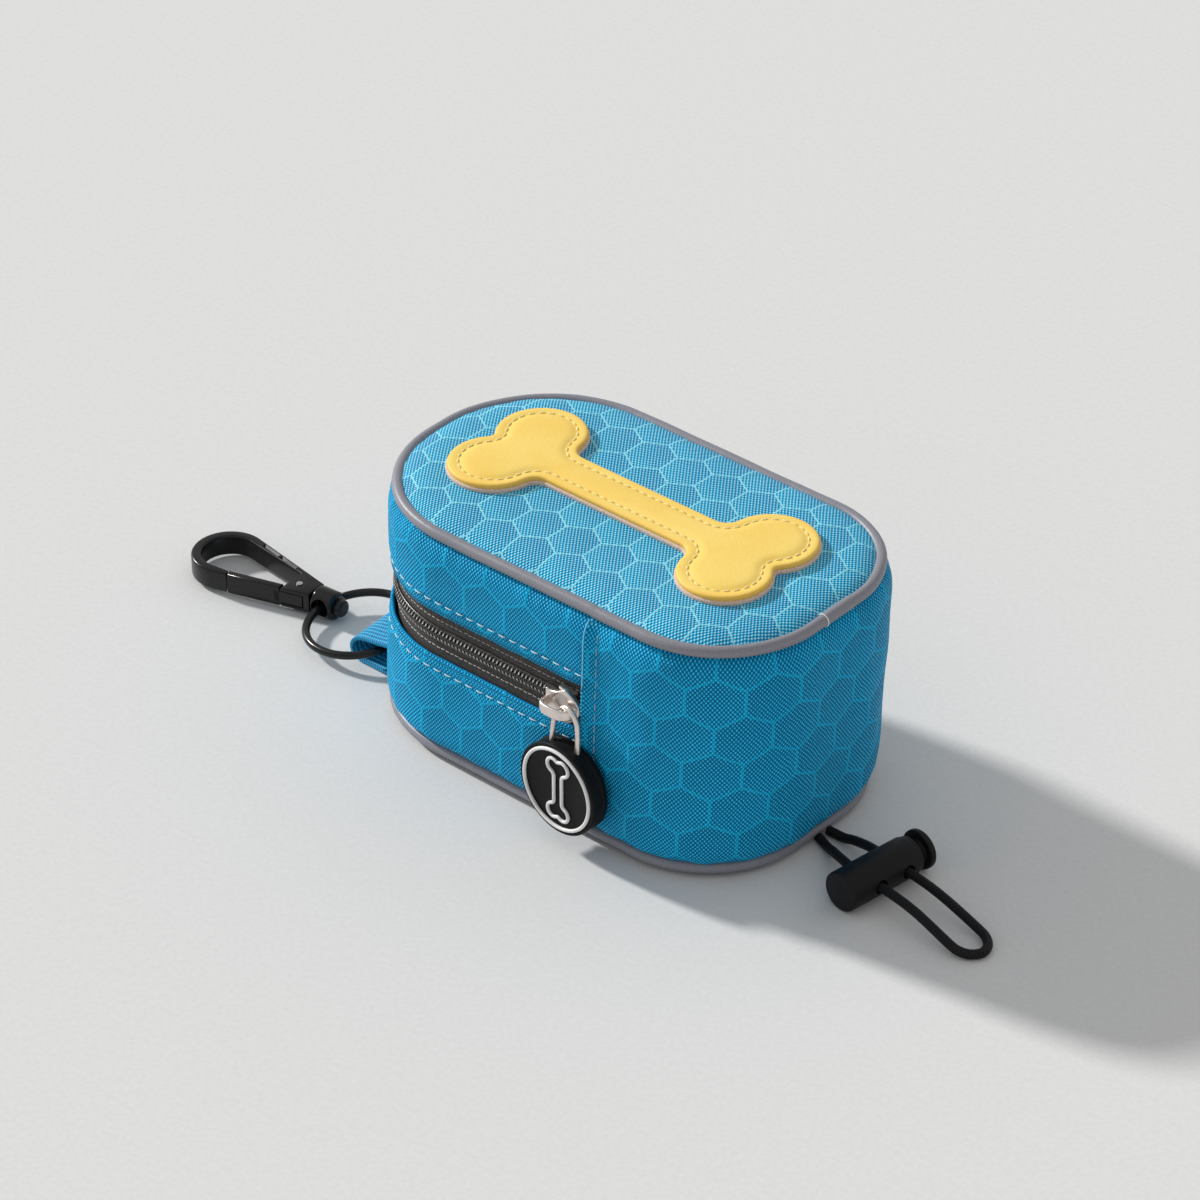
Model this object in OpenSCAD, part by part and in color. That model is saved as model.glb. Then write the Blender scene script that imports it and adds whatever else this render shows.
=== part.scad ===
// Zipped pouch that carries a roll of small waste bags and lets them out one by one.
// X runs along the pouch, from the snap hook (-X) to the cord lock (+X). The zip faces -Y.
// Z is up and the pouch stands on z = 0. All lengths are in millimetres.

/* [Pouch] */
// Length between the piping's centre lines
pouch_len = 104; // [98:1:130]
// Width between the piping's centre lines
pouch_wid = 60; // [58:1:76]
// Height between the centre lines of the two pipings
pouch_ht = 53; // [50:1:66]
// Length of the straight across the zip end
zip_end_flat = 4; // [3:0.5:16]
// Length of the straight across the cord end
cord_end_flat = 14; // [4:0.5:24]
// How far the wall stands out past the piping's centre line
wall_bulge = 1.8; // [1.2:0.1:2.6]
// Thickness of the padded wall
wall_t = 1.2; // [1:0.1:1.6]
// Diameter of the piping
piping_d = 2.5; // [2:0.1:3]
// Height of the crown of the padded lid over its piping
lid_crown = 2.6; // [1.6:0.1:4]
// Height of the bottom piping's centre line over the ground
base_lift = 2.25; // [2:0.05:3]

/* [Zip] */
// Height of the zip's centre line over the ground
zip_z = 31.6; // [26:0.1:34]
// Height of the window between the two zip walls
zip_window = 11; // [10:0.1:13]
// X of the seam at the front end of the zip
front_seam_x = 16.4; // [14:0.1:20]
// X of the seam at the back end of the zip
back_seam_x = -20; // [-22:0.5:-10]
// Spacing of the teeth on one tape
tooth_pitch = 1.5; // [1.4:0.05:1.8]
// Height of the teeth over the tape
tooth_h = 1.3; // [1:0.05:1.5]
// Thickness of the zip tape
tape_t = 0.7; // [0.4:0.05:0.9]
// Length of the slider
slider_len = 9; // [8:0.1:10]
// How far the slider stands back from the front seam
slider_back = 0.9; // [0.6:0.1:1.5]

/* [Pull] */
// Diameter of the pull's wire
pull_wire_d = 1.2; // [0.9:0.1:1.4]
// Distance between the centre lines of the wire's legs
pull_leg_gap = 6.4; // [6:0.1:7]
// Diameter of the tag
tag_d = 20.6; // [18:0.1:22]
// Thickness of the tag
tag_t = 4.3; // [3:0.1:5]
// Distance from the pull's pivot down to the centre of the tag
tag_drop = 17; // [16:0.1:18.5]

/* [Bone patch] */
// Distance from the patch's centre to the centre of each lobe, along the bone
bone_lobe_x = 30.5; // [26:0.5:31]
// Distance from the bone's centre line to the centre of each lobe
bone_lobe_y = 7.3; // [6.5:0.1:8]
// Radius of a lobe
bone_lobe_r = 9.6; // [9:0.1:10]
// Width of the bone's shaft
bone_shaft_w = 11; // [9:0.5:13]
// Thickness of the leather
leather_t = 1.2; // [0.8:0.1:2]
// Thickness of the felt under it
felt_t = 0.8; // [0.5:0.1:1.5]
// How far the felt shows past the leather
felt_margin = 0.6; // [0.2:0.1:1]

/* [Ring and tab] */
// Radius of the ring's centre line
ring_r = 11.7; // [11.4:0.1:12]
// Diameter of the ring's wire
ring_wire_d = 1.8; // [1.4:0.1:2]
// Width of the webbing tab
tab_w = 15; // [13:0.5:16]
// Thickness of the webbing
tab_t = 1; // [0.8:0.1:1.1]
// Length of the tab past the pouch's end
tab_reach = 10; // [9.6:0.1:10.6]

/* [Snap hook] */
// Thickness of the hook
hook_t = 5; // [4.8:0.1:5.4]
// Outer radius of the hook's bow
bow_r = 8.3; // [8:0.1:8.8]
// Width of the hook's section round the bow
hook_section = 2.3; // [2:0.1:2.6]
// Width of the gate
gate_w = 1.7; // [1.6:0.1:1.9]
// Distance from the swivel's eye to the centre of the bow
bow_reach = 27.6; // [26.5:0.1:28.5]
// Turn of the hook about the upright, away from the pouch's length
hook_yaw = 5.5; // [3:0.5:8]
// Radius of the swivel's collar
collar_r = 3.2; // [3.1:0.05:3.25]

/* [Cord lock] */
// Diameter of the elastic cord
cord_d = 2; // [1.6:0.1:2.1]
// Radius of the lock's barrel
barrel_r = 4.3; // [4:0.05:4.34]
// Radius of the lock's plunger
plunger_r = 2.7; // [2.4:0.05:2.9]
// Distance between the two strands in the lock
strand_gap = 7.5; // [7.4:0.1:7.6]
// How far the plunger can be pressed in
press_travel = 1.5; // [1:0.1:1.6]

/* [Bags] */
// Diameter of a full roll of bags
roll_d = 34; // [28:0.5:36]
// Length of the roll
roll_len = 62; // [54:1:66]
// Outer diameter of the roll's paper core
core_d = 14; // [12:0.5:18]
// Wall of the paper core
core_t = 1; // [0.6:0.1:1.5]
// Length of the outlet's opening
outlet_len = 20; // [16:0.5:24]
// Height of the outlet's opening
outlet_ht = 6; // [5:0.1:8]

/* [Hidden] */
$fn = 72;

run_gap = 0.05;          // radial clearance of a pin or shaft that turns or slides in its hole
slide_gap = 0.25;        // clearance between the slider and the zip
half_l = pouch_len / 2;
half_w = pouch_wid / 2;
zip_end_r = half_w - zip_end_flat / 2;       // corner radius at the zip end
cord_end_r = half_w - cord_end_flat / 2;     // the same at the cord end
piping_r = piping_d / 2;
z_low = base_lift;                 // bottom piping's centre line
z_top = base_lift + pouch_ht;      // top piping's centre line
zip_x = -(half_l - zip_end_r);     // where the straight sides end, at the zip end
cord_x = half_l - cord_end_r;      // the same at the cord end

// Seams: each piping has a flange, and the wall's hem and the panel lie on its two faces
flange_t = 0.6;
hem = 5;
hem_t = 0.8;
edge_gap = 0.1;          // from the piping's round to the hem's and the panel's edge
edge_o = -(piping_r + edge_gap);
bulge_rise = 3;          // height over which the wall swells from the piping to its full bulge
wall_low = z_low + piping_r;
wall_high = z_top - piping_r;
crease_o = 0.2;          // where the wall's outer face meets the piping

// Zip
tape_o = wall_bulge - wall_t;      // outer face of the tape, against the wall's inner face
tape_gap = 0.6;                    // from the zip's centre line to each tape
tape_reach = 8;                    // from the zip's centre line to the tape's far edge
bead_z = 2.3;
bead_ht = 0.6;
tooth_neck = 0.56;
tooth_head = 0.7;
slider_x = front_seam_x - slider_back - slider_len / 2;
slider_ht = 8;
plate_t = 1.1;
post_len = 1.7;
post_x = slider_x + slider_len / 2 - 1.6;      // centre of the slider's dividing post
teeth_start = front_seam_x - (post_x - post_len / 2 - slide_gap);
plate_o = tape_o + tooth_h + slide_gap;        // inner face of the outer plate
inner_plate_o = tape_o - tape_t - slide_gap;   // outer face of the inner plate
bail_o = plate_o + plate_t;
pivot_rise = 1.45;                 // pull's pivot over the outer plate
pivot_o = bail_o + pivot_rise;
pull_x = slider_x + 2.2;
bail_w = 4.4;

// Pull
tag_o = wall_bulge + 1.3;          // back face of the tag
tag_z = zip_z - tag_drop;
emblem_t = 0.5;

// Ring, swivel and hook. The ring leans: up towards the pouch and up towards the back
ring_reach = 15.9;                 // from the pouch's end to the ring's centre
ring_x = -(half_l + ring_reach);
ring_y = -9.9;
ring_z = 3.95;
ring_tilt = 5;
ring_roll = 5;
eye_turn = 171;                    // where the eye sits on the ring
function on_ring(a) =
  let (y = sin(a) * cos(ring_roll), z = sin(a) * sin(ring_roll))
  [ring_x + ring_r * (cos(a) * cos(ring_tilt) - z * sin(ring_tilt)), ring_y + ring_r * y,
   ring_z + ring_r * (cos(a) * sin(ring_tilt) + z * cos(ring_tilt))];
eye_at = on_ring(eye_turn);
eye_lift = 0.2;                    // the ring hangs this much below the middle of the eye's hole
eye_neck_r = ring_wire_d / 2 + 0.42;
eye_mouth_r = ring_wire_d / 2 + 1.4;
eye_bow = 0.22;                    // half the ring's rise across the collar
tab_y = -8.8;
tab_roll = 5;
collar_back = 2.9;
collar_front = 2.6;
collar_wall = 0.6;
stub_len = 1.9;
stub_r = 1.95;
head_r = 1.7;
head_t = 0.5;
post_r = 1.1;
post_hold = 1.2;                   // how far the post is riveted into the block
block_x = collar_front + 0.3;      // end face of the hook's block
block_near = 2.8;
block_far = -2.6;
bow_y = -0.3;
pin_x = block_x + 4.1;
pin_y = 0.7;
pin_r = 0.7;
gate_len = 16.4;                   // from the gate's pin to its free end
split_gap = 0.3;
gate_start = block_x + 1.6;        // the gate's tail end
cheek_x = block_x + 6.7;           // where the block and its two cheeks end
tongue_r = 1.7;
tongue_t = 1.4;
slot_half = hook_t / 2 - 0.9;

// Cord lock. Its frame has x along the strands and y along the barrel
lock_reach = 17.8;                 // from the pouch's end to the middle of the lock
lock_x = half_l + lock_reach;
lock_y = -4.7;
lock_z = 4.35;
lock_yaw = -8;
barrel_low = -11.2;
barrel_high = 8.2;
head_gap = press_travel + 0.2;     // between the barrel's mouth and the plunger's head
plunger_head_t = 1.4;
cord_hole_r = cord_d / 2 + 0.35;
window_half = cord_d / 2 + 0.3;
rod_end = -6.5;
bore_end = -10.2;

// Route of the elastic cord in the lock's frame: [along the strands, along the barrel, height].
// It leaves the seam, passes the lock, turns back in a loop and ends in the seam again.
cord_points = [
  [-19.6, 4.3, 2.25], [-17.4, 4.6, 2.25], [-15.2, 4.9, 2.3], [-12.8, 4.95, 2.6], [-10.2, 4.65, 3.15],
  [-7.6, 4.1, 3.9],
  [-5, 3.75, 4.3], [-2, 3.75, 4.35], [2, 3.75, 4.35], [6, 3.75, 4.35], [10, 3.75, 4.35],
  [13.6, 3.75, 4.3], [16.4, 3.75, 4], [19, 3.8, 3.4], [21.6, 3.85, 2.6], [23.6, 3.85, 1.9],
  [25.4, 3.7, 1.45], [27.2, 2.9, 1.2], [28.4, 1.6, 1.1], [28.9, 0, 1.1],
  [28.4, -1.6, 1.1], [27.2, -2.9, 1.2], [25.4, -3.7, 1.45],
  [23.6, -3.85, 1.9], [21.6, -3.85, 2.6], [19, -3.8, 3.4], [16.4, -3.75, 4], [13.6, -3.75, 4.3],
  [10, -3.75, 4.35], [6, -3.75, 4.35], [2, -3.75, 4.35], [-2, -3.75, 4.35], [-5, -3.75, 4.3],
  [-7.6, -2.9, 3.9], [-10.2, -1, 3.15], [-12.6, 0.6, 2.6], [-14.8, 1.5, 2.3], [-17, 1.45, 2.25],
  [-19.2, 1.15, 2.25]
];

// Bags
outlet_x = 4.5;
outlet_z = 28;
grommet_lip = 3.2;
grommet_t = 1;
roll_z = z_low - flange_t / 2 + 0.3 + roll_d / 2;

// ---------- helpers ----------

// Points of an arc round c, from angle a0 to a1
function arc(c, r, a0, a1, n) =
  [for (k = [0:n]) let (a = a0 + (a1 - a0) * k / n) [c[0] + r * cos(a), c[1] + r * sin(a)]];

// The pouch's plan, grown by o, as points
function plan_points(o, n = 12) = concat(
  arc([cord_x, half_w - cord_end_r], cord_end_r + o, 0, 90, n),
  arc([zip_x, half_w - zip_end_r], zip_end_r + o, 90, 180, n),
  arc([zip_x, -(half_w - zip_end_r)], zip_end_r + o, 180, 270, n),
  arc([cord_x, -(half_w - cord_end_r)], cord_end_r + o, 270, 360, n)
);

// The pouch's plan, grown by o, with true arcs
module plan(o) {
  union() {
    for (side = [-1, 1]) {
      translate([cord_x, side * (half_w - cord_end_r)]) circle(r = cord_end_r + o);
      translate([zip_x, side * (half_w - zip_end_r)]) circle(r = zip_end_r + o);
    }
    polygon([
      [half_l + o, half_w - cord_end_r], [cord_x, half_w + o], [zip_x, half_w + o],
      [-half_l - o, half_w - zip_end_r], [-half_l - o, -(half_w - zip_end_r)],
      [zip_x, -half_w - o], [cord_x, -half_w - o], [half_l + o, -(half_w - cord_end_r)]
    ]);
  }
}

// A profile (x outwards from the piping's line, y up) swept round one quarter corner
module sweep_corner(x, y, r, start)
  translate([x, y, 0]) rotate([0, 0, start]) rotate_extrude(angle = 90) translate([r, 0]) children();

// The same profile along the zip's stretch of the wall
module sweep_zip_side() {
  translate([front_seam_x, -half_w, 0]) rotate([90, 0, -90])
    linear_extrude(front_seam_x - zip_x) children();
  sweep_corner(zip_x, -(half_w - zip_end_r), zip_end_r, 180) children();
  translate([-half_l, -(half_w - zip_end_r), 0]) rotate([90, 0, 180])
    linear_extrude(2 * (half_w - zip_end_r)) children();
  sweep_corner(zip_x, half_w - zip_end_r, zip_end_r, 90) children();
  translate([zip_x, half_w, 0]) rotate([90, 0, 90])
    linear_extrude(back_seam_x - zip_x) children();
}

// The same profile along the rest of the wall
module sweep_cord_side() {
  translate([back_seam_x, half_w, 0]) rotate([90, 0, 90])
    linear_extrude(cord_x - back_seam_x) children();
  sweep_corner(cord_x, half_w - cord_end_r, cord_end_r, 0) children();
  translate([half_l, half_w - cord_end_r, 0]) rotate([90, 0, 0])
    linear_extrude(2 * (half_w - cord_end_r)) children();
  sweep_corner(cord_x, -(half_w - cord_end_r), cord_end_r, 270) children();
  translate([cord_x, -half_w, 0]) rotate([90, 0, -90])
    linear_extrude(cord_x - front_seam_x) children();
}

// Place on the piping's line, at length s from the front seam round the zip end: [x, y, outward angle]
front_run = front_seam_x - zip_x;
corner_run = zip_end_r * PI / 2;
end_run = 2 * (half_w - zip_end_r);
back_run = back_seam_x - zip_x;
zip_run = front_run + 2 * corner_run + end_run + back_run;
function on_corner(s, yc, start) =
  let (a = start - s / zip_end_r * 180 / PI) [zip_x + zip_end_r * cos(a), yc + zip_end_r * sin(a), a];
function zip_place(s) =
  s < front_run ? [front_seam_x - s, -half_w, 270]
  : s < front_run + corner_run ? on_corner(s - front_run, -(half_w - zip_end_r), 270)
  : s < front_run + corner_run + end_run
    ? [-half_l, -(half_w - zip_end_r) + s - front_run - corner_run, 180]
  : s < zip_run - back_run
    ? on_corner(s - front_run - corner_run - end_run, half_w - zip_end_r, 180)
  : [back_seam_x - (zip_run - s), half_w, 90];

// A flat outline (x along the zip, y up) standing out from the tape, at length s along the zip
module on_zip(s, out, t) {
  p = zip_place(s);
  translate([p[0], p[1], zip_z]) rotate([0, 0, p[2]]) translate([out, 0, 0])
    rotate([90, 0, 90]) linear_extrude(t) children();
}

// Outline of a bone lying along x: two lobes at each end, a shaft, and filleted inner corners
function bone_quarter(lx, ly, r, w, f, g) =
  let (
    notch = lx + sqrt(pow(r + g, 2) - ly * ly),
    fillet = lx - sqrt(pow(r + f, 2) - pow(w + f - ly, 2)),
    an = atan2(ly, lx - notch),
    af = atan2(w + f - ly, fillet - lx)
  )
  concat(
    arc([notch, 0], g, 180, an, 3),
    arc([lx, ly], r, an - 180, af, 16),
    arc([fillet, w + f], f, af - 180, -90, 5)
  );
function back_to_front(p) = [for (k = [len(p) - 1:-1:1]) p[k]];
function bone_points(lx, ly, r, w, f, g) =
  let (q = bone_quarter(lx, ly, r, w, f, g))
  concat(
    q, back_to_front([for (p = q) [-p[0], p[1]]]),
    [for (p = q) [-p[0], -p[1]]], back_to_front([for (p = q) [p[0], -p[1]]])
  );
module bone(grow) {
  fillet = 3.4;
  notch = 1.6;
  polygon(bone_points(bone_lobe_x, bone_lobe_y, bone_lobe_r + grow, bone_shaft_w / 2 + grow,
    fillet - grow, notch - grow));
}

// Tube of radius r along points p, with n sides
function tangent(p, k) =
  let (v = p[min(k + 1, len(p) - 1)] - p[max(k - 1, 0)]) v / norm(v);
function ring_at(p, k, r, n) =
  let (t = tangent(p, k), side = cross([0, 0, 1], t), u = side / norm(side), w = cross(t, u))
  [for (j = [0:n - 1]) p[k] + r * (cos((j + 0.5) * 360 / n) * u + sin((j + 0.5) * 360 / n) * w)];
function tube_points(p, r, n) = [for (k = [0:len(p) - 1]) each ring_at(p, k, r, n)];
function tube_faces(m, n) = concat(
  [[for (j = [0:n - 1]) j]],
  [for (k = [0:m - 2]) for (j = [0:n - 1])
    let (a = k * n + j, b = k * n + (j + 1) % n) each [[a, a + n, b + n], [a, b + n, b]]],
  [[for (j = [n - 1:-1:0]) (m - 1) * n + j]]
);
module tube(p, r, n) polyhedron(tube_points(p, r, n), tube_faces(len(p), n));

// Helix about z: turns, height and radius of the wire's centre line, starting at z = 0
function helix(r, ht, turns, steps) =
  [for (k = [0:turns * steps]) [r * cos(k * 360 / steps), r * sin(k * 360 / steps), ht * k / (turns * steps)]];

module hook_frame() translate(eye_at + [0, 0, eye_lift]) rotate([0, 0, 180 + hook_yaw]) children();
module lock_frame() translate([lock_x, lock_y, 0]) rotate([0, 0, lock_yaw]) children();
function lock_place(p) = [
  lock_x + p[0] * cos(lock_yaw) - p[1] * sin(lock_yaw),
  lock_y + p[0] * sin(lock_yaw) + p[1] * cos(lock_yaw),
  p[2]
];

// ---------- pouch ----------

// Section of the whole wall: a hem on each flange and a swollen face between them
module wall_section() polygon([
  [edge_o, z_low + flange_t / 2], [-hem, z_low + flange_t / 2],
  [-hem, z_low + flange_t / 2 + hem_t], [edge_o - 0.3, z_low + flange_t / 2 + hem_t],
  [tape_o, wall_low + bulge_rise], [tape_o, wall_high - bulge_rise],
  [edge_o - 0.3, z_top - flange_t / 2 - hem_t], [-hem, z_top - flange_t / 2 - hem_t],
  [-hem, z_top - flange_t / 2], [edge_o, z_top - flange_t / 2],
  [edge_o, wall_high], [crease_o, wall_high],
  [wall_bulge, wall_high - bulge_rise], [wall_bulge, wall_low + bulge_rise],
  [crease_o, wall_low], [edge_o, wall_low]
]);
module band(low, high) translate([-hem - 1, low]) square([hem + 1 + wall_bulge + 1, high - low]);

module piping_section(z) translate([0, z]) {
  circle(r = piping_r);
  translate([-hem, -flange_t / 2]) square([hem, flange_t]);
}
module piping(z) color([0.6, 0.59, 0.63]) {
  sweep_zip_side() piping_section(z);
  sweep_cord_side() piping_section(z);
}
module top_piping() piping(z_top);
module bottom_piping() piping(z_low);

module gusset_wall() color([0.05, 0.55, 0.82]) difference() {
  sweep_cord_side() wall_section();
  outlet_cut(outlet_len + 2 * grommet_t, outlet_ht + 2 * grommet_t, -hem, hem);
}
module upper_zip_wall() color([0.05, 0.55, 0.82]) sweep_zip_side()
  intersection() { wall_section(); band(zip_z + zip_window / 2, z_top); }
module lower_zip_wall() color([0.05, 0.55, 0.82]) sweep_zip_side()
  intersection() { wall_section(); band(z_low, zip_z - zip_window / 2); }

// Crowned lid: rings of the plan that step inwards as they rise
lid_rings = [[edge_o, 0.45], [-2.8, 0.6 * lid_crown], [-5, 0.85 * lid_crown], [-7.5, lid_crown]];
lid_n = 4 * 13;
module top_panel() color([0.05, 0.58, 0.85]) {
  low = z_top + flange_t / 2;
  rings = concat([[edge_o, flange_t / 2]], lid_rings);
  points = [for (r = rings) each [for (p = plan_points(r[0])) [p[0], p[1], z_top + r[1]]]];
  m = len(rings);
  polyhedron(points, concat(
    [[for (j = [0:lid_n - 1]) j]],
    [for (k = [0:m - 2]) for (j = [0:lid_n - 1])
      let (a = k * lid_n + j, b = k * lid_n + (j + 1) % lid_n)
      each [[a, a + lid_n, b + lid_n], [a, b + lid_n, b]]],
    [[for (j = [lid_n - 1:-1:0]) (m - 1) * lid_n + j]]
  ));
}
module bottom_panel() color([0.05, 0.5, 0.75])
  linear_extrude(z_low - flange_t / 2) plan(edge_o);

module patch_felt() color([0.85, 0.72, 0.62])
  translate([0, 0, z_top + lid_crown]) linear_extrude(felt_t) bone(felt_margin);
module bone_patch() color([0.98, 0.82, 0.38])
  translate([0, 0, z_top + lid_crown + felt_t]) linear_extrude(leather_t) bone(0);

// ---------- zip ----------

module zip_tape(side) color([0.24, 0.22, 0.21]) sweep_zip_side()
  translate([tape_o - tape_t, zip_z + (side > 0 ? tape_gap : -tape_reach)])
    square([tape_t, tape_reach - tape_gap]);
module upper_zip_tape() zip_tape(1);
module lower_zip_tape() zip_tape(-1);

module tooth(side) {
  root = bead_z + bead_ht / 2;
  polygon([for (p = [
    [-tooth_neck / 2, root], [-tooth_neck / 2, 0.45], [-tooth_head / 2, 0.2], [-tooth_head / 2, -0.5],
    [tooth_head / 2, -0.5], [tooth_head / 2, 0.2], [tooth_neck / 2, 0.45], [tooth_neck / 2, root]
  ]) [p[0], side * p[1]]]);
}
module zip_teeth(side) color([0.62, 0.6, 0.58]) {
  shift = side > 0 ? 0 : tooth_pitch / 2;
  count = floor((zip_run - teeth_start - tooth_pitch * 3) / tooth_pitch);
  for (k = [0:count - 1])
    on_zip(teeth_start + tooth_pitch * (k + 0.5) + shift, tape_o, tooth_h) tooth(side);
  sweep_zip_side() translate([tape_o, zip_z + (side > 0 ? bead_z : -bead_z - bead_ht)])
    square([tooth_h * 0.8, bead_ht]);
}
module upper_zip_teeth() zip_teeth(1);
module lower_zip_teeth() zip_teeth(-1);

// Metal stops: one over each row at the front seam, and one across both at the far end
module zip_stops() color([0.7, 0.67, 0.64]) {
  for (side = [-1, 1])
    on_zip(0.6, tape_o, tooth_h) translate([-0.5, side > 0 ? 0.7 : -bead_z + 0.1]) square([1, bead_z - 0.8]);
  on_zip(zip_run - tooth_pitch, tape_o, tooth_h + 0.1) translate([-1, -bead_z + 0.1]) square([2, 2 * bead_z - 0.2]);
}

// Slider: an outer and an inner plate joined by the dividing post, side flanges, and a bail on top
module slider_plate(taper) polygon([
  [-slider_len / 2, -slider_ht / 2 + taper], [-slider_len / 2, slider_ht / 2 - taper],
  [-slider_len / 2 + 3, slider_ht / 2], [slider_len / 2 - 2, slider_ht / 2],
  [slider_len / 2, slider_ht / 2 - 1.8], [slider_len / 2, -slider_ht / 2 + 1.8],
  [slider_len / 2 - 2, -slider_ht / 2], [-slider_len / 2 + 3, -slider_ht / 2]
]);
// Stands a flat outline (x along the pouch, y up) at the front wall, from offset o outwards by t
module at_front(x, z, o, t)
  translate([x, -half_w - o, z]) rotate([90, 0, 0]) linear_extrude(t) children();
module zip_slider() color([0.76, 0.71, 0.68]) {
  flange = 0.7;
  flange_in = tape_o + slide_gap;
  at_front(slider_x, zip_z, plate_o, plate_t) slider_plate(1.1);
  at_front(slider_x, zip_z, inner_plate_o - plate_t, plate_t) slider_plate(1.1);
  at_front(post_x, zip_z, inner_plate_o, plate_o - inner_plate_o)
    square([post_len, 0.8], center = true);
  for (side = [-1, 1])
    at_front(slider_x, zip_z, flange_in, plate_o - flange_in)
      translate([-slider_len / 2 + 3, side > 0 ? slider_ht / 2 - flange : -slider_ht / 2])
        square([slider_len - 5, flange]);
  difference() {
    union() {
      translate([pull_x - bail_w / 2, -half_w - pivot_o, zip_z]) rotate([0, 90, 0])
        cylinder(r = pull_wire_d / 2 + 0.9, h = bail_w);
      translate([pull_x - bail_w / 2, -half_w - pivot_o, zip_z - pull_wire_d / 2 - 0.9])
        cube([bail_w, pivot_o - bail_o, pull_wire_d + 1.8]);
    }
    translate([pull_x - bail_w, -half_w - pivot_o, zip_z]) rotate([0, 90, 0])
      cylinder(r = pull_wire_d / 2 + run_gap, h = 2 * bail_w);
  }
}

// ---------- pull ----------

// Wire: a bar through the slider's bail and two legs down into the tag
leg_end = tag_z + tag_d / 2 - 2.4;
tag_mid = tag_o + tag_t / 2;
leg_lean = atan2(tag_mid - pivot_o, zip_z - leg_end);
leg_run = norm([tag_mid - pivot_o, zip_z - leg_end]);
module wire_legs() for (side = [-1, 1])
  translate([pull_x + side * pull_leg_gap / 2, -half_w - pivot_o, zip_z])
    rotate([180 - leg_lean, 0, 0]) cylinder(d = pull_wire_d, h = leg_run);
module pull_wire() color([0.8, 0.77, 0.74]) union() {
  translate([pull_x - pull_leg_gap / 2, -half_w - pivot_o, zip_z]) rotate([0, 90, 0])
    cylinder(d = pull_wire_d, h = pull_leg_gap);
  for (side = [-1, 1])
    translate([pull_x + side * pull_leg_gap / 2, -half_w - pivot_o, zip_z]) sphere(d = pull_wire_d);
  wire_legs();
}
module pull_tag() color([0.1, 0.1, 0.11]) difference() {
  translate([pull_x, -half_w - tag_o, tag_z]) rotate([90, 0, 0]) union() {
    translate([0, 0, 0.5]) cylinder(d = tag_d, h = tag_t - 1);
    cylinder(d = tag_d - 1, h = tag_t);
  }
  wire_legs();
}
module tag_emblem() color([0.93, 0.93, 0.92]) translate([pull_x, -half_w - tag_o - tag_t, tag_z])
  rotate([90, 0, 0]) {
    linear_extrude(emblem_t) difference() {
      circle(d = tag_d - 1.8);
      circle(d = tag_d - 3.6);
    }
    linear_extrude(emblem_t) rotate([0, 0, 90]) difference() {
      small_bone(0.42);
      small_bone(-0.42);
    }
  }
module small_bone(grow)
  polygon(bone_points(5.85, 1.3, 1.7 + grow, 1.1 + grow, 1.3 - grow, 0.9 - grow));

// ---------- tab, ring and swivel ----------

// Side view of the tab: webbing folded round the ring and sewn to the wall high and low
tab_slope = 28;
tab_rise = 4;            // run of the rising stretch over the fold
fold_r = 2.6;
fold_x = -(half_l + tab_reach);
fold_z = 3.55;
function tab_outline(r) = [
  [fold_x, fold_z - r], [-half_l + 8, fold_z - r],
  [-half_l + 8, fold_z + r / cos(tab_slope) + tab_rise * tan(tab_slope)],
  [fold_x + tab_rise, fold_z + r / cos(tab_slope) + tab_rise * tan(tab_slope)],
  [fold_x - r * sin(tab_slope), fold_z + r * cos(tab_slope)]
];
module tab_side(r) {
  translate([fold_x, fold_z]) circle(r = r);
  polygon(concat([[fold_x, fold_z]], tab_outline(r)));
}
module webbing_tab() color([0.05, 0.5, 0.78]) difference() {
  translate([0, tab_y, 0]) rotate([tab_roll, 0, 0]) translate([0, tab_w / 2, 0])
    rotate([90, 0, 0]) linear_extrude(tab_w) difference() {
      tab_side(fold_r);
      tab_side(fold_r - tab_t);
    }
  translate([0, 0, -1]) linear_extrude(wall_low + bulge_rise + 1) plan(piping_r);
  translate([0, 0, wall_low]) linear_extrude(pouch_ht) plan(wall_bulge);
}

module link_ring() color([0.12, 0.12, 0.13])
  translate([ring_x, ring_y, ring_z]) rotate([0, -ring_tilt, 0]) rotate([ring_roll, 0, 0])
    rotate_extrude() translate([ring_r, 0]) circle(d = ring_wire_d, $fn = 32);

module along_x(x, r, h) translate([x, 0, 0]) rotate([0, 90, 0]) cylinder(r = r, h = h);

head_x = collar_front - collar_wall - 0.1 - head_t;
module swivel_eye() color([0.13, 0.13, 0.14]) hook_frame() difference() {
  union() {
    along_x(-collar_back, collar_r, collar_back + collar_front);
    along_x(-collar_back - stub_len, stub_r, stub_len + 0.1);
  }
  for (side = [-1, 1])
    translate([-eye_bow, 0, 0]) rotate([-90 * side, 0, 0])
      cylinder(r1 = eye_neck_r, r2 = eye_mouth_r, h = collar_r + 0.1);
  along_x(head_x - 0.1, head_r + 0.15, head_t + 0.2);
  along_x(head_x, post_r + run_gap, 4);
}
module swivel_post() color([0.2, 0.2, 0.21]) hook_frame() union() {
  along_x(head_x, head_r, head_t);
  along_x(head_x, post_r, block_x + post_hold - head_x);
}

// ---------- hook ----------

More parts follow.
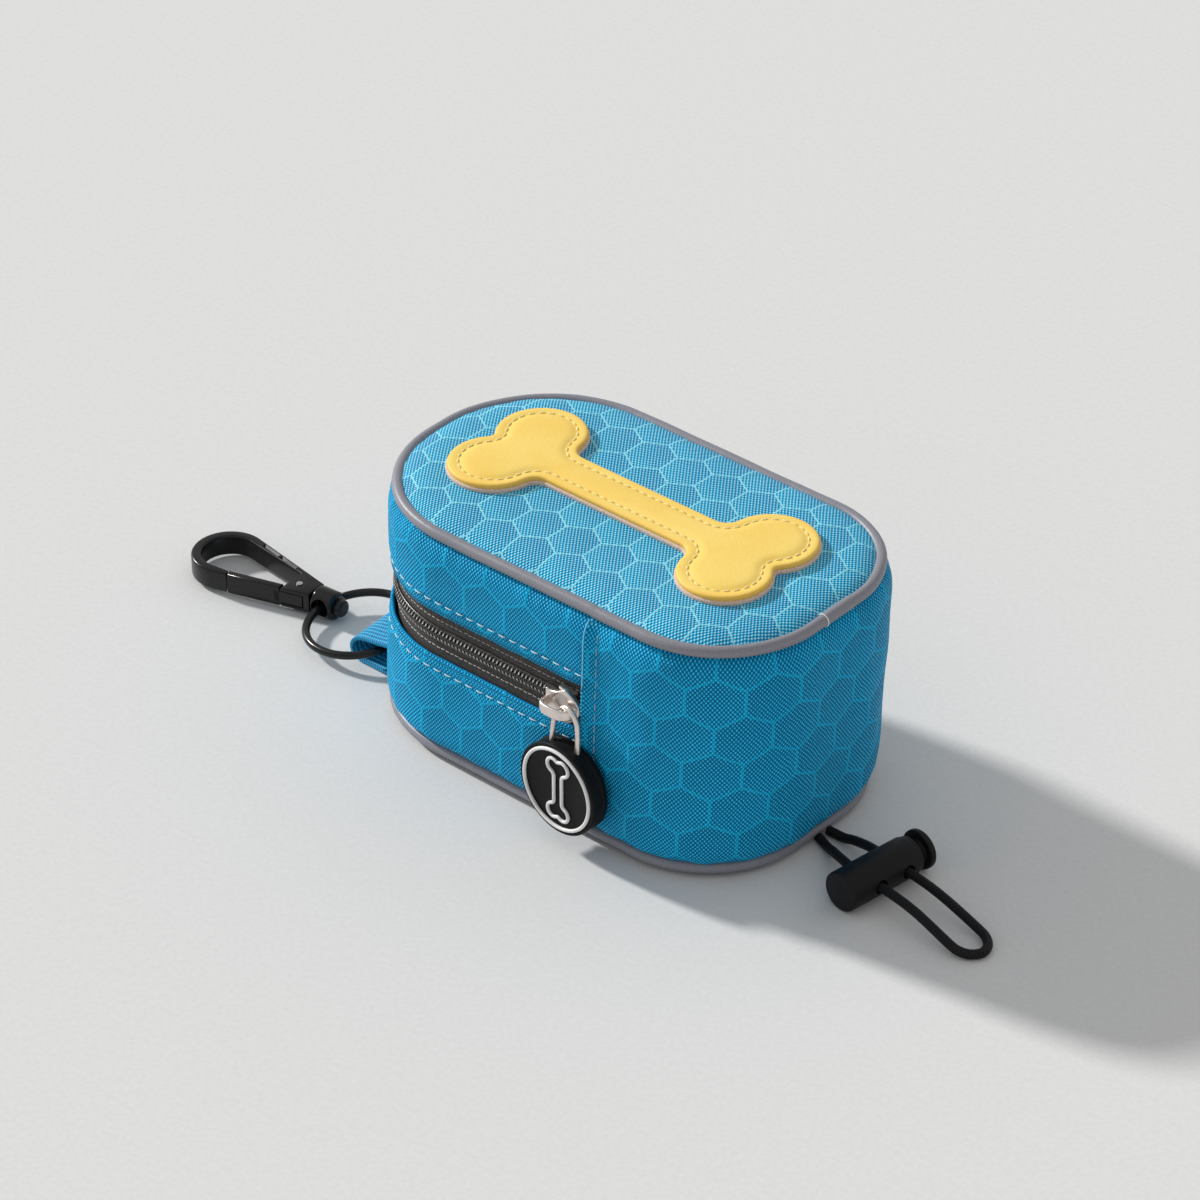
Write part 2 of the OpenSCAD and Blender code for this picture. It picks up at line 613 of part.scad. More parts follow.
// Angle of the tangent from point p to a circle, on the given side
function tangent_angle(p, c, r, side) =
  let (d = c - p) atan2(d[1], d[0]) + side * asin(r / norm(d));
function tangent_end(p, c, r, side) =
  let (d = c - p, l = sqrt(d * d - r * r), a = tangent_angle(p, c, r, side)) p + l * [cos(a), sin(a)];
bow_c = [bow_reach, bow_y];
near_corner = [block_x, block_near];
far_corner = [block_x, block_far];
near_slope = tan(tangent_angle(near_corner, bow_c, bow_r, 1));
function near_edge(x) = block_near + (x - block_x) * near_slope;
function gate_edge(x) = near_edge(x) - gate_w;
split_x = pin_x + sqrt(gate_len * gate_len - pow(near_edge(pin_x + gate_len) - gate_w - pin_y, 2));
inner_r = bow_r - hook_section;
arm_in = [cheek_x, block_far - 0.2];         // where the far limb's inner face meets the block

module hook_outer() {
  touch = bow_r - 0.04;    // the straight sides meet the bow a little inside its edge
  translate(bow_c) circle(r = bow_r);
  polygon([near_corner, far_corner, tangent_end(far_corner, bow_c, touch, -1), bow_c,
    tangent_end(near_corner, bow_c, touch, 1)]);
}
module hook_inner() {
  translate(bow_c) circle(r = inner_r);
  polygon([arm_in, tangent_end(arm_in, bow_c, inner_r - 0.04, -1), bow_c,
    [bow_reach, bow_y + inner_r - 0.04], [split_x, gate_edge(split_x)], [cheek_x, gate_edge(cheek_x)]]);
}
// The strip along the near edge that the gate fills
module gate_strip(start, clear) polygon([
  [start, gate_edge(start) - clear], [bow_reach, gate_edge(bow_reach) - clear],
  [bow_reach, near_edge(bow_reach) + 1], [start, near_edge(start) + 1]
]);
// Room between the body's two cheeks for the gate's tail, which turns on the pin
module tail_slot() {
  reach = tongue_r + split_gap;
  start = gate_start - split_gap;
  translate([pin_x, pin_y]) circle(r = reach);
  polygon([
    [start, near_edge(start) - gate_w - split_gap], [start, near_edge(start) + 1],
    [cheek_x + 1, near_edge(cheek_x) + 1], [cheek_x + 1, pin_y - reach + 0.04],
    [pin_x, pin_y - reach + 0.04], [pin_x, gate_edge(pin_x) - split_gap]
  ]);
}
module hook_body() color([0.09, 0.09, 0.1]) hook_frame() difference() {
  translate([0, 0, -hook_t / 2]) linear_extrude(hook_t) difference() {
    hook_outer();
    hook_inner();
    intersection() {
      gate_strip(cheek_x, split_gap);
      translate([pin_x, pin_y]) circle(r = gate_len + split_gap);
    }
  }
  translate([0, 0, -slot_half]) linear_extrude(2 * slot_half) tail_slot();
  translate([pin_x, pin_y, -hook_t]) cylinder(r = pin_r, h = 2 * hook_t);
  along_x(block_x - 1, post_r, 1 + post_hold);
  far_groove(1);
  far_groove(-1);
}
// Groove along the far limb, on both faces
limb_angle = tangent_angle(far_corner, bow_c, bow_r, -1);
module far_groove(side) {
  depth = 0.5;
  groove_w = 0.6;
  translate([far_corner[0], far_corner[1], side * (hook_t / 2 - depth / 2)]) rotate([0, 0, limb_angle])
    translate([9, 0.7, -depth / 2 - 0.01]) cube([11, groove_w, depth + 0.02]);
}
module hook_gate() color([0.11, 0.11, 0.12]) hook_frame() difference() {
  tail_t = 2 * slot_half - 0.3;
  union() {
    translate([0, 0, -hook_t / 2]) linear_extrude(hook_t) intersection() {
      gate_strip(cheek_x + split_gap, 0);
      hook_outer();
      translate([pin_x, pin_y]) circle(r = gate_len);
    }
    translate([0, 0, -tail_t / 2]) linear_extrude(tail_t) {
      intersection() {
        hook_outer();
        gate_strip(gate_start, 0);
        translate([gate_start, -bow_r]) square([cheek_x + 1 - gate_start, 3 * bow_r]);
      }
      translate([pin_x, pin_y]) circle(r = tongue_r);
    }
  }
  translate([pin_x, pin_y, -hook_t]) cylinder(r = pin_r + run_gap, h = 2 * hook_t);
  translate([pin_x, pin_y, -tail_t / 2 + tongue_t]) cylinder(r = tongue_r + 0.25, h = hook_t);
}
module gate_pin() color([0.3, 0.3, 0.31]) hook_frame()
  translate([pin_x, pin_y, -hook_t / 2 - 0.2]) cylinder(r = pin_r, h = hook_t + 0.4);
module gate_spring() color([0.6, 0.6, 0.6]) hook_frame()
  translate([pin_x, pin_y, -slot_half + tongue_t + 0.5]) tube(helix(1.15, 1, 2, 10), 0.2, 6);

// ---------- cord and lock ----------

module elastic_cord() color([0.08, 0.08, 0.09])
  tube([for (p = cord_points) lock_place(p)], cord_d / 2, 8);

module along_y(y, r, h) translate([0, y, lock_z]) rotate([-90, 0, 0]) cylinder(r = r, h = h);

module lock_barrel() color([0.1, 0.1, 0.11]) lock_frame() difference() {
  union() {
    along_y(barrel_low, barrel_r - 0.4, barrel_high - barrel_low);
    along_y(barrel_low + 0.4, barrel_r, barrel_high - barrel_low - 0.8);
  }
  along_y(bore_end, plunger_r + run_gap, barrel_high - bore_end + 1);
  for (side = [-1, 1])
    translate([-barrel_r - 1, side * strand_gap / 2, lock_z]) rotate([0, 90, 0])
      cylinder(r = cord_hole_r, h = 2 * barrel_r + 2);
}
module lock_plunger() color([0.12, 0.12, 0.13]) lock_frame() {
  window_low = -strand_gap / 2 - window_half;
  window_high = strand_gap / 2 + window_half + press_travel;
  head_y = barrel_high + head_gap;
  difference() {
    union() {
      along_y(rod_end, plunger_r, head_y - rod_end + 0.1);
      along_y(head_y, barrel_r, plunger_head_t);
    }
    translate([-plunger_r - 1, window_low, lock_z - window_half])
      cube([2 * plunger_r + 2, window_high - window_low, 2 * window_half]);
  }
}
module lock_spring() color([0.7, 0.7, 0.7]) lock_frame()
  translate([0, bore_end + 0.25, lock_z]) rotate([-90, 0, 0])
    tube(helix(1.9, rod_end - bore_end - 0.5, 3, 10), 0.22, 6);

// ---------- bags ----------

// A slot with round ends through the back wall, from offset o0 to o1
module outlet_cut(length, height, o0, o1)
  translate([outlet_x, half_w + o1, outlet_z]) rotate([90, 0, 0]) linear_extrude(o1 - o0) {
    square([length - height, height], center = true);
    for (side = [-1, 1]) translate([side * (length - height) / 2, 0]) circle(d = height);
  }
module outlet_grommet() color([0.12, 0.12, 0.13]) difference() {
  union() {
    outlet_cut(outlet_len + 2 * grommet_lip, outlet_ht + 2 * grommet_lip, wall_bulge, wall_bulge + grommet_t);
    outlet_cut(outlet_len + 2 * grommet_t, outlet_ht + 2 * grommet_t, tape_o, wall_bulge);
    outlet_cut(outlet_len + 2 * grommet_lip, outlet_ht + 2 * grommet_lip, tape_o - grommet_t, tape_o);
  }
  outlet_cut(outlet_len, outlet_ht, -hem, hem);
}
module bag_roll() color([0.2, 0.2, 0.22]) translate([-roll_len / 2, 0, roll_z]) rotate([0, 90, 0])
  difference() {
    cylinder(d = roll_d, h = roll_len);
    translate([0, 0, -1]) cylinder(d = core_d, h = roll_len + 2);
  }
module roll_core() color([0.7, 0.6, 0.48]) translate([-roll_len / 2, 0, roll_z]) rotate([0, 90, 0])
  difference() {
    cylinder(d = core_d, h = roll_len);
    translate([0, 0, -1]) cylinder(d = core_d - 2 * core_t, h = roll_len + 2);
  }

// ---------- assembly ----------

top_panel();
bottom_panel();
top_piping();
bottom_piping();
gusset_wall();
upper_zip_wall();
lower_zip_wall();
upper_zip_tape();
lower_zip_tape();
upper_zip_teeth();
lower_zip_teeth();
zip_stops();
outlet_grommet();
patch_felt();
bone_patch();
webbing_tab();
zip_slider();
pull_wire();
pull_tag();
tag_emblem();
link_ring();
swivel_eye();
swivel_post();
hook_body();
hook_gate();
gate_pin();
gate_spring();
elastic_cord();
lock_barrel();
lock_plunger();
lock_spring();
bag_roll();
roll_core();
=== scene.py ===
"""Looks for the waste bag pouch: cloth, piping, zip, leather patch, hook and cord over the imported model."""

from functools import partialmethod
from math import asin, atan2, cos, degrees, dist, exp, hypot, log, pi, radians, sin, sqrt, tan

import bmesh
import bpy
import numpy as np
from mathutils import Matrix, Vector, noise


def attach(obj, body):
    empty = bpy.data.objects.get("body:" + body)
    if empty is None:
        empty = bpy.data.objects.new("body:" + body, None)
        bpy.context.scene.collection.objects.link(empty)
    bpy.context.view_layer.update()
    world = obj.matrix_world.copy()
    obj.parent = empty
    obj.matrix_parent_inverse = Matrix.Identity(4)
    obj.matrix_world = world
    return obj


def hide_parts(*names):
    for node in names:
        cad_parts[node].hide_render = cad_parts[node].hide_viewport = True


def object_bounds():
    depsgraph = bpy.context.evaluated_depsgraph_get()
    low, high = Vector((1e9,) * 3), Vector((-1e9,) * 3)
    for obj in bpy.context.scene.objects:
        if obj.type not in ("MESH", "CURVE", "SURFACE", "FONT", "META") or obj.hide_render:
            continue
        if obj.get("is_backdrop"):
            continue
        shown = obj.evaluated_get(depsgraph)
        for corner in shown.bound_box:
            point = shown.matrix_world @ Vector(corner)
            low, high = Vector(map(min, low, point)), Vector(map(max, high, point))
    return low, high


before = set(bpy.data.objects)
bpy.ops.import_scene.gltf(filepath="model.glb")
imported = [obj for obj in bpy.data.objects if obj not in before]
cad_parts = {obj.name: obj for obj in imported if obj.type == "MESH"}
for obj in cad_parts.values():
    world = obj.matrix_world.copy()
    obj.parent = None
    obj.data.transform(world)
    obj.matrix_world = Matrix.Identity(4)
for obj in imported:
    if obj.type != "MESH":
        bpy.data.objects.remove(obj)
CAD_BOX = [list(map(float, corner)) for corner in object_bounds()]
MM = 0.001
TAU = 2 * pi

# ---- sizes, in mm, as in the CAD

HALF_L, HALF_W = 52.0, 30.0
ZIP_R, CORD_R = 28.0, 23.0
ZIP_X, CORD_X = -24.0, 29.0
Z_LOW, Z_TOP = 2.25, 55.25
PIPE_R = 1.25
ZIP_Z, LIP = 31.6, 5.5
SEAM_X, BACK_X = 16.4, -20.0
PULL_X = 13.2
SLIDER_X = 11.0
PATCH_Z = Z_TOP + 2.6
LOCK_O, LOCK_YAW = (69.8, -4.7), radians(-8)
EYE_O, HOOK_YAW = (-79.426, -8.077, 3.302), radians(185.5)
TAG_Z, TAG_R, TAG_T, TAG_O = ZIP_Z - 17, 10.3, 4.3, 3.1
TAG_TURN = radians(-3.7)
TAB_Y, TAB_HALF, TAB_T = -8.8, 7.5, 0.9
LOCK_Z, STRAND_Y, CORD_T = 4.35, 3.75, 2.0
ROLL_Z = 19.25
OUTLET_Z, OUTLET_HALF, OUTLET_R = 28, 7.0, 4.1
CLOTH_T = 1.0
EDGE = 0.65  # the walls' cloth ends this far from the piping's line
LIP_SEAM = 8.3  # from the zip's middle to the stitches beside it
FOLD_SEAM = 2.9  # from the ends of the gusset to their stitches
BONE = 30.5, 7.3, 9.6, 5.5, 3.4, 1.6  # as bone_outline takes them

# ---- camera

def link(name, data):
    made = bpy.data.objects.new(name, data)
    bpy.context.collection.objects.link(made)
    return made


def assign(target, **props):
    for key, value in props.items():
        setattr(target, key, value)
    return target


camera = link("camera", bpy.data.cameras.new("camera"))
assign(camera.data, lens=135, sensor_width=36, clip_start=0.05, clip_end=20)
RIGHT, UP, BACK = (0.7509, 0.6604, 0), (-0.3694, 0.42, 0.8289), (0.5474, -0.6225, 0.5593)
camera.matrix_world = Matrix.Translation((0.49536, -0.57267, 0.54615)) @ Matrix(
    [[RIGHT[i], UP[i], BACK[i]] for i in range(3)]
).to_4x4()
bpy.context.scene.camera = camera


# ---- node materials

class Shader:
    """A principled material and short names for the nodes that feed it."""

    def __init__(self, name, **fixed):
        self.mat = bpy.data.materials.new(name)
        self.mat.use_nodes = True
        self.tree = self.mat.node_tree
        self.tree.nodes.clear()
        out = self.node("OutputMaterial")
        self.bsdf = self.node("BsdfPrincipled")
        self.tree.links.new(self.bsdf.outputs[0], out.inputs[0])
        for key, value in fixed.items():
            self.bsdf.inputs[key.replace("_", " ")].default_value = value

    def node(self, kind, *args, **props):
        """A node with its first sockets fed by args."""
        made = assign(self.tree.nodes.new("ShaderNode" + kind), **props)
        for socket, value in zip(made.inputs, args):
            self.put(socket, value)
        return made

    def put(self, socket, value):
        if isinstance(value, bpy.types.NodeSocket):
            self.tree.links.new(value, socket)
        else:
            socket.default_value = (*value, 1) if socket.type == "RGBA" else value

    def set(self, name, value):
        self.put(self.bsdf.inputs[name], value)

    def math(self, op, *args):
        return self.node("Math", *args, operation=op).outputs[0]

    add = partialmethod(math, "ADD")
    sub = partialmethod(math, "SUBTRACT")
    mul = partialmethod(math, "MULTIPLY")
    mad = partialmethod(math, "MULTIPLY_ADD")

    def vector(self, op, *args):
        made = self.node("VectorMath", *args, operation=op)
        return made.outputs["Value" if op == "LENGTH" else "Vector"]

    def stretch(self, vector, by):
        return self.vector("MULTIPLY", vector, by)

    def parts(self, vector):
        return self.node("SeparateXYZ", vector).outputs

    def join(self, x, y, z=0.0):
        return self.node("CombineXYZ", x, y, z).outputs[0]

    def mix(self, factor, a, b):
        made = self.node("Mix", data_type="RGBA")
        self.put(made.inputs[0], factor)
        self.put(made.inputs[6], a)
        self.put(made.inputs[7], b)
        return made.outputs[2]

    def noise(self, vector, scale, detail=2.0, rough=0.5):
        made = self.node("TexNoise")
        for key, value in (("Vector", vector), ("Scale", scale), ("Detail", detail), ("Roughness", rough)):
            self.put(made.inputs[key], value)
        return made.outputs[0]

    def cells(self, vector, scale):
        made = self.node("TexVoronoi")
        self.put(made.inputs["Vector"], vector)
        self.put(made.inputs["Scale"], scale)
        return made.outputs["Distance"]

    def span(self, value, low, high, to_low=0.0, to_high=1.0):
        return self.node("MapRange", value, low, high, to_low, to_high,
                         interpolation_type="SMOOTHSTEP").outputs[0]

    def flat(self):
        """The cloth's own coordinates, in mm, kept on each vertex of a piece."""
        return self.node("Attribute", attribute_name="flat").outputs["Vector"]

    def place(self, scale=1 / MM):
        """Object coordinates, in mm unless another scale is given."""
        made = self.node("VectorMath", self.node("TexCoord").outputs["Object"], operation="SCALE")
        self.put(made.inputs["Scale"], scale)
        return made.outputs[0]

    def wave(self, x, pitch, phase=0.0):
        return self.math("SINE", self.mad(x, TAU / pitch, phase))

    def done(self, colour, height, mm, strength, rough=None):
        """The material, with colour, relief and roughness fed in."""
        self.set("Base Color", colour)
        if rough:
            self.set("Roughness", rough)
        made = self.node("Bump")
        for key, value in (("Strength", strength), ("Distance", mm * MM), ("Height", height)):
            self.put(made.inputs[key], value)
        self.set("Normal", made.outputs["Normal"])
        return self.mat


def cloth(name, hexes=True, wide=0.80, tall=1.08, cell_w=10.9, cell_h=10.2, line_w=0.06, lit_copy=0.0):
    """Blue Oxford cloth: round thread tops in offset rows, and a jacquard of large hexagons in satin lines. Its colour
    holds painted light: painted highlights on the thread tops, painted shade between them and across each hexagon's
    emboss, and a brighter copy with painted sunlight for the lid.
    """
    s = Shader(name, Specular_IOR_Level=0.06)
    p = s.flat()
    drift = s.noise(p, 0.35, 2)
    x, y, _ = s.parts(p)
    x, y = s.mad(drift, 0.4, x), s.mad(drift, -0.4, y)
    # Thread tops: they make the relief, and they also set painted highlights on the tops and painted shade between
    # them.
    tops = s.mad(s.mul(s.wave(x, wide), s.wave(y, tall)), 0.5, 0.5)
    height = s.mad(s.wave(y, tall / 2), 0.12, tops)
    # Painted shade: darker between the thread tops.
    shade = s.span(tops, 0.1, 0.75)
    large = s.noise(p, 0.06, 3)
    grain = s.noise(p, 2.2, 2)
    if hexes:
        root3 = sqrt(3)
        q = s.stretch(s.join(x, y), (1 / cell_w, 1 / cell_h, 1.0))

        def lattice(shift):
            """Place from the nearest centre of one of the hexagons' two lattices."""
            moved = s.vector("ADD", q, (shift, shift * root3, 0.0))
            return s.parts(s.vector("SUBTRACT", s.vector("MODULO", moved, (1.0, root3, 1.0)), (0.5, root3 / 2, 0.5)))

        ax, ay, _ = lattice(40.0)
        bx, by, _ = lattice(40.5)
        near_a = s.math("LESS_THAN", s.add(s.mul(ax, ax), s.mul(ay, ay)), s.add(s.mul(bx, bx), s.mul(by, by)))
        gx, gy = (s.mad(near_a, s.sub(m, n), n) for m, n in ((ax, bx), (ay, by)))
        absx, absy = s.math("ABSOLUTE", gx), s.math("ABSOLUTE", gy)
        edge = s.math("MAXIMUM", absx, s.mad(absx, 0.5, s.mul(absy, root3 / 2)))
        rim, soft = 0.5 - line_w / 2, 0.008
        line = s.span(edge, rim - soft, rim + soft)
        # A gradient across each hexagon: it raises the emboss, and below it also paints shade on one side of each cell.
        emboss_slope = s.span(s.add(s.mul(gx, -0.5), s.mul(gy, -0.75)), -0.42, 0.42)
        qx, qy, _ = s.parts(q)
        each = s.span(s.noise(s.join(s.sub(qx, gx), s.sub(qy, gy)), 0.73, 2), 0.35, 0.65)
        height = s.mad(line, s.sub(0.9, height), height)
        height = s.mad(emboss_slope, 3.2 - lit_copy * 1.6, height)
        # Painted shade: each hexagon darker on one side, as light falls on its emboss; then a random tone for each
        # cell.
        shade = s.mul(shade, s.mad(emboss_slope, 0.55, 0.54))
        shade = s.mul(shade, s.mad(each, 0.3, 0.75))
    # The lid's copy: the same cloth with painted sunlight, brighter throughout and with paler painted highlights.
    if lit_copy:
        dark, mid, highlight = (0.005, 0.24, 0.51), (0.05, 0.67, 0.97), (0.82, 1.0, 1.0)
    else:
        dark, mid, highlight = (0.0, 0.135, 0.34), (0.0, 0.36, 0.74), (0.10, 0.84, 1.0)
    # Painted shade, from dark to mid, over the thread hollows and the hexagons' emboss.
    colour = s.mix(shade, dark, mid)
    # Painted highlight: the pale colour on the thread tops.
    colour = s.mix(s.mul(s.span(tops, 0.62, 0.92), 0.85), colour, highlight)
    if hexes:
        # The satin lines are the jacquard's own; on the lid's copy they are painted brighter, as if sunlit.
        satin = (0.004 + lit_copy * 0.30, 0.46 + lit_copy * 0.36, 0.78 + lit_copy * 0.17)
        colour = s.mix(s.mul(line, 0.5 + lit_copy * 0.35), colour, satin)
    colour = s.mix(s.span(large, 0.3, 0.7, 0.0, 0.10), colour, (0.0, 0.22, 0.45))
    # Painted glints: random flecks in the highlight colour.
    colour = s.mix(s.span(grain, 0.62, 0.8, 0.0, 0.2), colour, highlight)
    return s.done(colour, height, 0.3, 0.95, s.span(grain, 0.2, 0.8, 0.42, 0.56))


def pvc(name):
    s = Shader(name, Specular_IOR_Level=0.4)
    p = s.flat()
    fine = s.noise(p, 3.0, 3)
    colour = s.mix(s.span(fine, 0.3, 0.7), (0.20, 0.20, 0.235), (0.27, 0.27, 0.305))
    colour = s.mix(s.span(s.noise(p, 0.12, 2), 0.35, 0.7, 0, 0.3), colour, (0.24, 0.235, 0.265))
    height = s.add(s.mul(fine, 0.6), s.mul(s.wave(s.parts(p)[0], 0.5), 0.15))
    return s.done(colour, height, 0.05, 0.7, s.span(fine, 0.2, 0.8, 0.36, 0.48))


def tape_cloth(name):
    """The zip's dark twill tape with pale flecks."""
    s = Shader(name, Roughness=0.8)
    p = s.stretch(s.place(), (1, 1, 2.2))
    fleck = s.noise(p, 2.4, 3, 0.7)
    colour = s.mix(s.span(fleck, 0.35, 0.65), (0.018, 0.016, 0.015), (0.075, 0.066, 0.06))
    colour = s.mix(s.span(fleck, 0.66, 0.76, 0, 0.5), colour, (0.32, 0.29, 0.26))
    return s.done(colour, s.add(fleck, s.mul(s.cells(p, 2.6), -0.6)), 0.12, 0.9)


def metal(name, colour, rough, wear):
    s = Shader(name, Metallic=1.0)
    p = s.place()
    n = s.noise(p, 0.9, 4, 0.6)
    fine = s.noise(s.stretch(p, (6, 1, 1)), 3.0, 2)
    worn = tuple(c * (1 - wear * 2.5) for c in colour)
    return s.done(s.mix(s.span(n, 0.4, 0.75), colour, worn), s.add(n, s.mul(fine, 0.3)), 0.02, 0.5,
                  s.span(fine, 0.2, 0.8, rough - 0.07, rough + 0.1))


def moulded(name, colour, pale, rough, grain, specular=0.5, scale=1.0, coat=0.0):
    """Moulded rubber or plastic, or paint: fine grain, soft wear where the noise is high."""
    s = Shader(name, Coat_Weight=coat, Coat_Roughness=0.15, Specular_IOR_Level=specular)
    p = s.place()
    fine = s.noise(p, 4.0 * scale, 3, 0.6)
    broad = s.noise(p, 0.25 * scale, 3)
    worn = s.span(s.mad(fine, 0.5, s.mul(broad, 0.5)), 0.45, 0.68)
    return s.done(s.mix(worn, colour, pale), s.mad(fine, 0.7, s.mul(broad, 0.3)), grain, 0.8,
                  s.span(broad, 0.3, 0.7, rough - 0.06, rough + 0.08))


def coil_nylon(name):
    """The zip's coil: dark nylon, glossy, with a pale painted highlight on the crowns of the loops."""
    s = Shader(name, Specular_IOR_Level=0.7)
    _, away, out = s.parts(s.flat())
    n = s.noise(s.place(), 1.6, 2)
    # Painted highlight: pale on the outer crowns of the loops, away from where they interlock.
    crown = s.mul(s.span(out, 1.12, 1.42), s.span(s.math("ABSOLUTE", away), 0.4, 0.75))
    colour = s.mix(crown, (0.012, 0.011, 0.010), (0.72, 0.70, 0.68))
    colour = s.mix(s.span(n, 0.4, 0.7, 0.0, 0.35), colour, (0.10, 0.092, 0.088))
    return s.done(colour, n, 0.02, 0.5, s.span(n, 0.3, 0.7, 0.24, 0.34))


def braid(name, colour, pale, pitch, wide, rough):
    """Braided cord: crossing ribs over coordinates that run along and round it; its colour is partly random fuzz and
    partly a painted highlight on the ribs' crests.
    """
    s = Shader(name, Specular_IOR_Level=0.18, Roughness=rough)
    x, y, _ = s.parts(s.flat())
    y = s.mul(y, wide)
    ribs = s.math("MAXIMUM", s.wave(s.add(x, y), pitch), s.wave(s.sub(x, y), pitch))
    fuzz = s.noise(s.place(), 5.0, 2)
    # Partly random fuzz, partly a painted highlight on the crests of the ribs.
    colour = s.mix(s.span(s.mad(fuzz, 0.6, s.mul(ribs, 0.35)), 0.2, 0.75), colour, pale)
    return s.done(colour, s.mad(ribs, 0.5, s.mul(fuzz, 0.3)), 0.09, 0.9)


def thread(name, colour, pale):
    s = Shader(name, Roughness=0.5, Specular_IOR_Level=0.5)
    x, y, _ = s.parts(s.flat())
    twist = s.wave(s.add(x, s.mul(y, 0.6)), 0.34)
    # The colour follows the twist: painted shade between the plies and a painted highlight on their crests.
    return s.done(s.mix(s.span(twist, -0.6, 0.8), colour, pale), twist, 0.04, 0.8)


def leather(name):
    """Yellow leather: fine pebble grain, broader creases and a warmer painted edge."""
    s = Shader(name, Specular_IOR_Level=0.45, Sheen_Weight=0.05)
    p = s.flat()
    pebble = s.cells(s.vector("ADD", p, s.join(s.noise(p, 1.2, 2), 0.0)), 1.9)
    fine = s.noise(p, 3.5, 3)
    colour = s.mix(s.span(s.noise(p, 0.09, 3), 0.3, 0.7), (0.95, 0.65, 0.125), (0.965, 0.71, 0.17))
    colour = s.mix(s.span(pebble, 0.25, 0.75, 0.0, 0.14), colour, (0.85, 0.50, 0.06))
    colour = s.mix(s.span(s.parts(p)[2], -0.9, -0.2, 0.55, 0.0), colour, (0.87, 0.45, 0.04))
    return s.done(colour, s.mad(pebble, -0.5, s.mul(fine, 0.4)), 0.08, 0.6, s.span(fine, 0.2, 0.8, 0.44, 0.58))


def felt(name):
    s = Shader(name, Roughness=0.9, Sheen_Weight=0.2)
    p = s.place()
    n = s.noise(p, 3.0, 4, 0.7)
    streak = s.noise(s.stretch(p, (1, 1, 5)), 1.6, 2)
    colour = s.mix(s.span(n, 0.35, 0.65), (0.58, 0.40, 0.31), (0.80, 0.63, 0.52))
    colour = s.mix(s.span(streak, 0.45, 0.7, 0, 0.5), colour, (0.86, 0.72, 0.62))
    return s.done(colour, n, 0.15, 0.9)


def webbing(name):
    """Blue woven webbing: lengthwise ribs crossed by fine weft, with painted shade in the grooves and a painted
    highlight on the ribs.
    """
    s = Shader(name, Specular_IOR_Level=0.3)
    p = s.flat()
    x, y, _ = s.parts(p)
    rib = 1.15
    weft = s.mul(s.wave(x, 0.62), s.wave(y, rib, 1.57))
    h = s.mad(s.wave(y, rib), 0.5, s.mul(weft, 0.4))
    n = s.noise(p, 0.8, 3)
    # Painted shade and highlight: the colour follows the ribs' height, dark in the grooves and pale on the tops.
    colour = s.mix(s.span(h, -0.6, 0.8), (0.0, 0.16, 0.36), (0.03, 0.48, 0.78))
    colour = s.mix(s.span(n, 0.5, 0.8, 0, 0.3), colour, (0.08, 0.5, 0.78))
    return s.done(colour, h, 0.16, 0.9, s.span(n, 0.3, 0.7, 0.4, 0.55))


def wound_film(name):
    """The roll of bags: dark film wound in thin layers, seen as rings at its ends."""
    s = Shader(name, Specular_IOR_Level=0.55, Coat_Weight=0.2, Coat_Roughness=0.3)
    p = s.place()
    _, y, z = s.parts(p)
    r = s.vector("LENGTH", s.join(0.0, y, s.sub(z, ROLL_Z)))
    layers = s.wave(s.mad(s.noise(p, 0.3, 3), 1.2, r), 0.6)
    folds = s.noise(s.stretch(p, (0.25, 1, 1)), 0.8, 3)
    return s.done(s.mix(s.span(layers, -1, 1), (0.012, 0.012, 0.016), (0.05, 0.05, 0.06)),
                  s.mad(layers, 0.4, folds), 0.2, 0.8, s.span(folds, 0.3, 0.7, 0.3, 0.5))


def paper(name):
    s = Shader(name, Roughness=0.85)
    n = s.noise(s.stretch(s.place(), (3, 1, 1)), 1.2, 4, 0.7)
    return s.done(s.mix(s.span(n, 0.3, 0.7), (0.36, 0.25, 0.15), (0.55, 0.42, 0.28)), n, 0.08, 0.8)


BLUE = cloth("blue_cloth")
# The lid's cloth: the same cloth as the walls, painted brighter as if sunlit.
LID_BLUE = cloth("lid_cloth", cell_w=9.3, cell_h=9.8, line_w=0.042, lit_copy=1.0)
LINING = cloth("lining_cloth", hexes=False, wide=0.7, tall=0.9)
PVC = pvc("grey_pvc")
TAPE = tape_cloth("zip_tape_cloth")
COIL = coil_nylon("zip_nylon")
NICKEL = metal("warm_nickel", (0.80, 0.72, 0.67), 0.36, 0.05)
STEEL = metal("spring_steel", (0.6, 0.6, 0.62), 0.3, 0.1)
RUBBER = moulded("black_rubber", (0.0045, 0.0045, 0.005), (0.011, 0.011, 0.012), 0.55, 0.025, specular=0.16)
WHITE = moulded("white_rubber", (0.72, 0.72, 0.71), (0.85, 0.85, 0.84), 0.4, 0.03)
ENAMEL = moulded("black_enamel", (0.0035, 0.0035, 0.004), (0.009, 0.009, 0.010), 0.25, 0.012,
                 specular=0.34, scale=0.7, coat=0.08)
PLASTIC = moulded("black_plastic", (0.005, 0.005, 0.006), (0.012, 0.012, 0.013), 0.46, 0.025, specular=0.2)
CORD = braid("black_cord", (0.0025, 0.0025, 0.003), (0.014, 0.014, 0.016), 0.75, 0.55, 0.5)
WHITE_THREAD = thread("pale_thread", (0.42, 0.62, 0.72), (0.86, 0.94, 0.97))
BLUE_THREAD = thread("blue_thread", (0.12, 0.38, 0.55), (0.40, 0.64, 0.78))
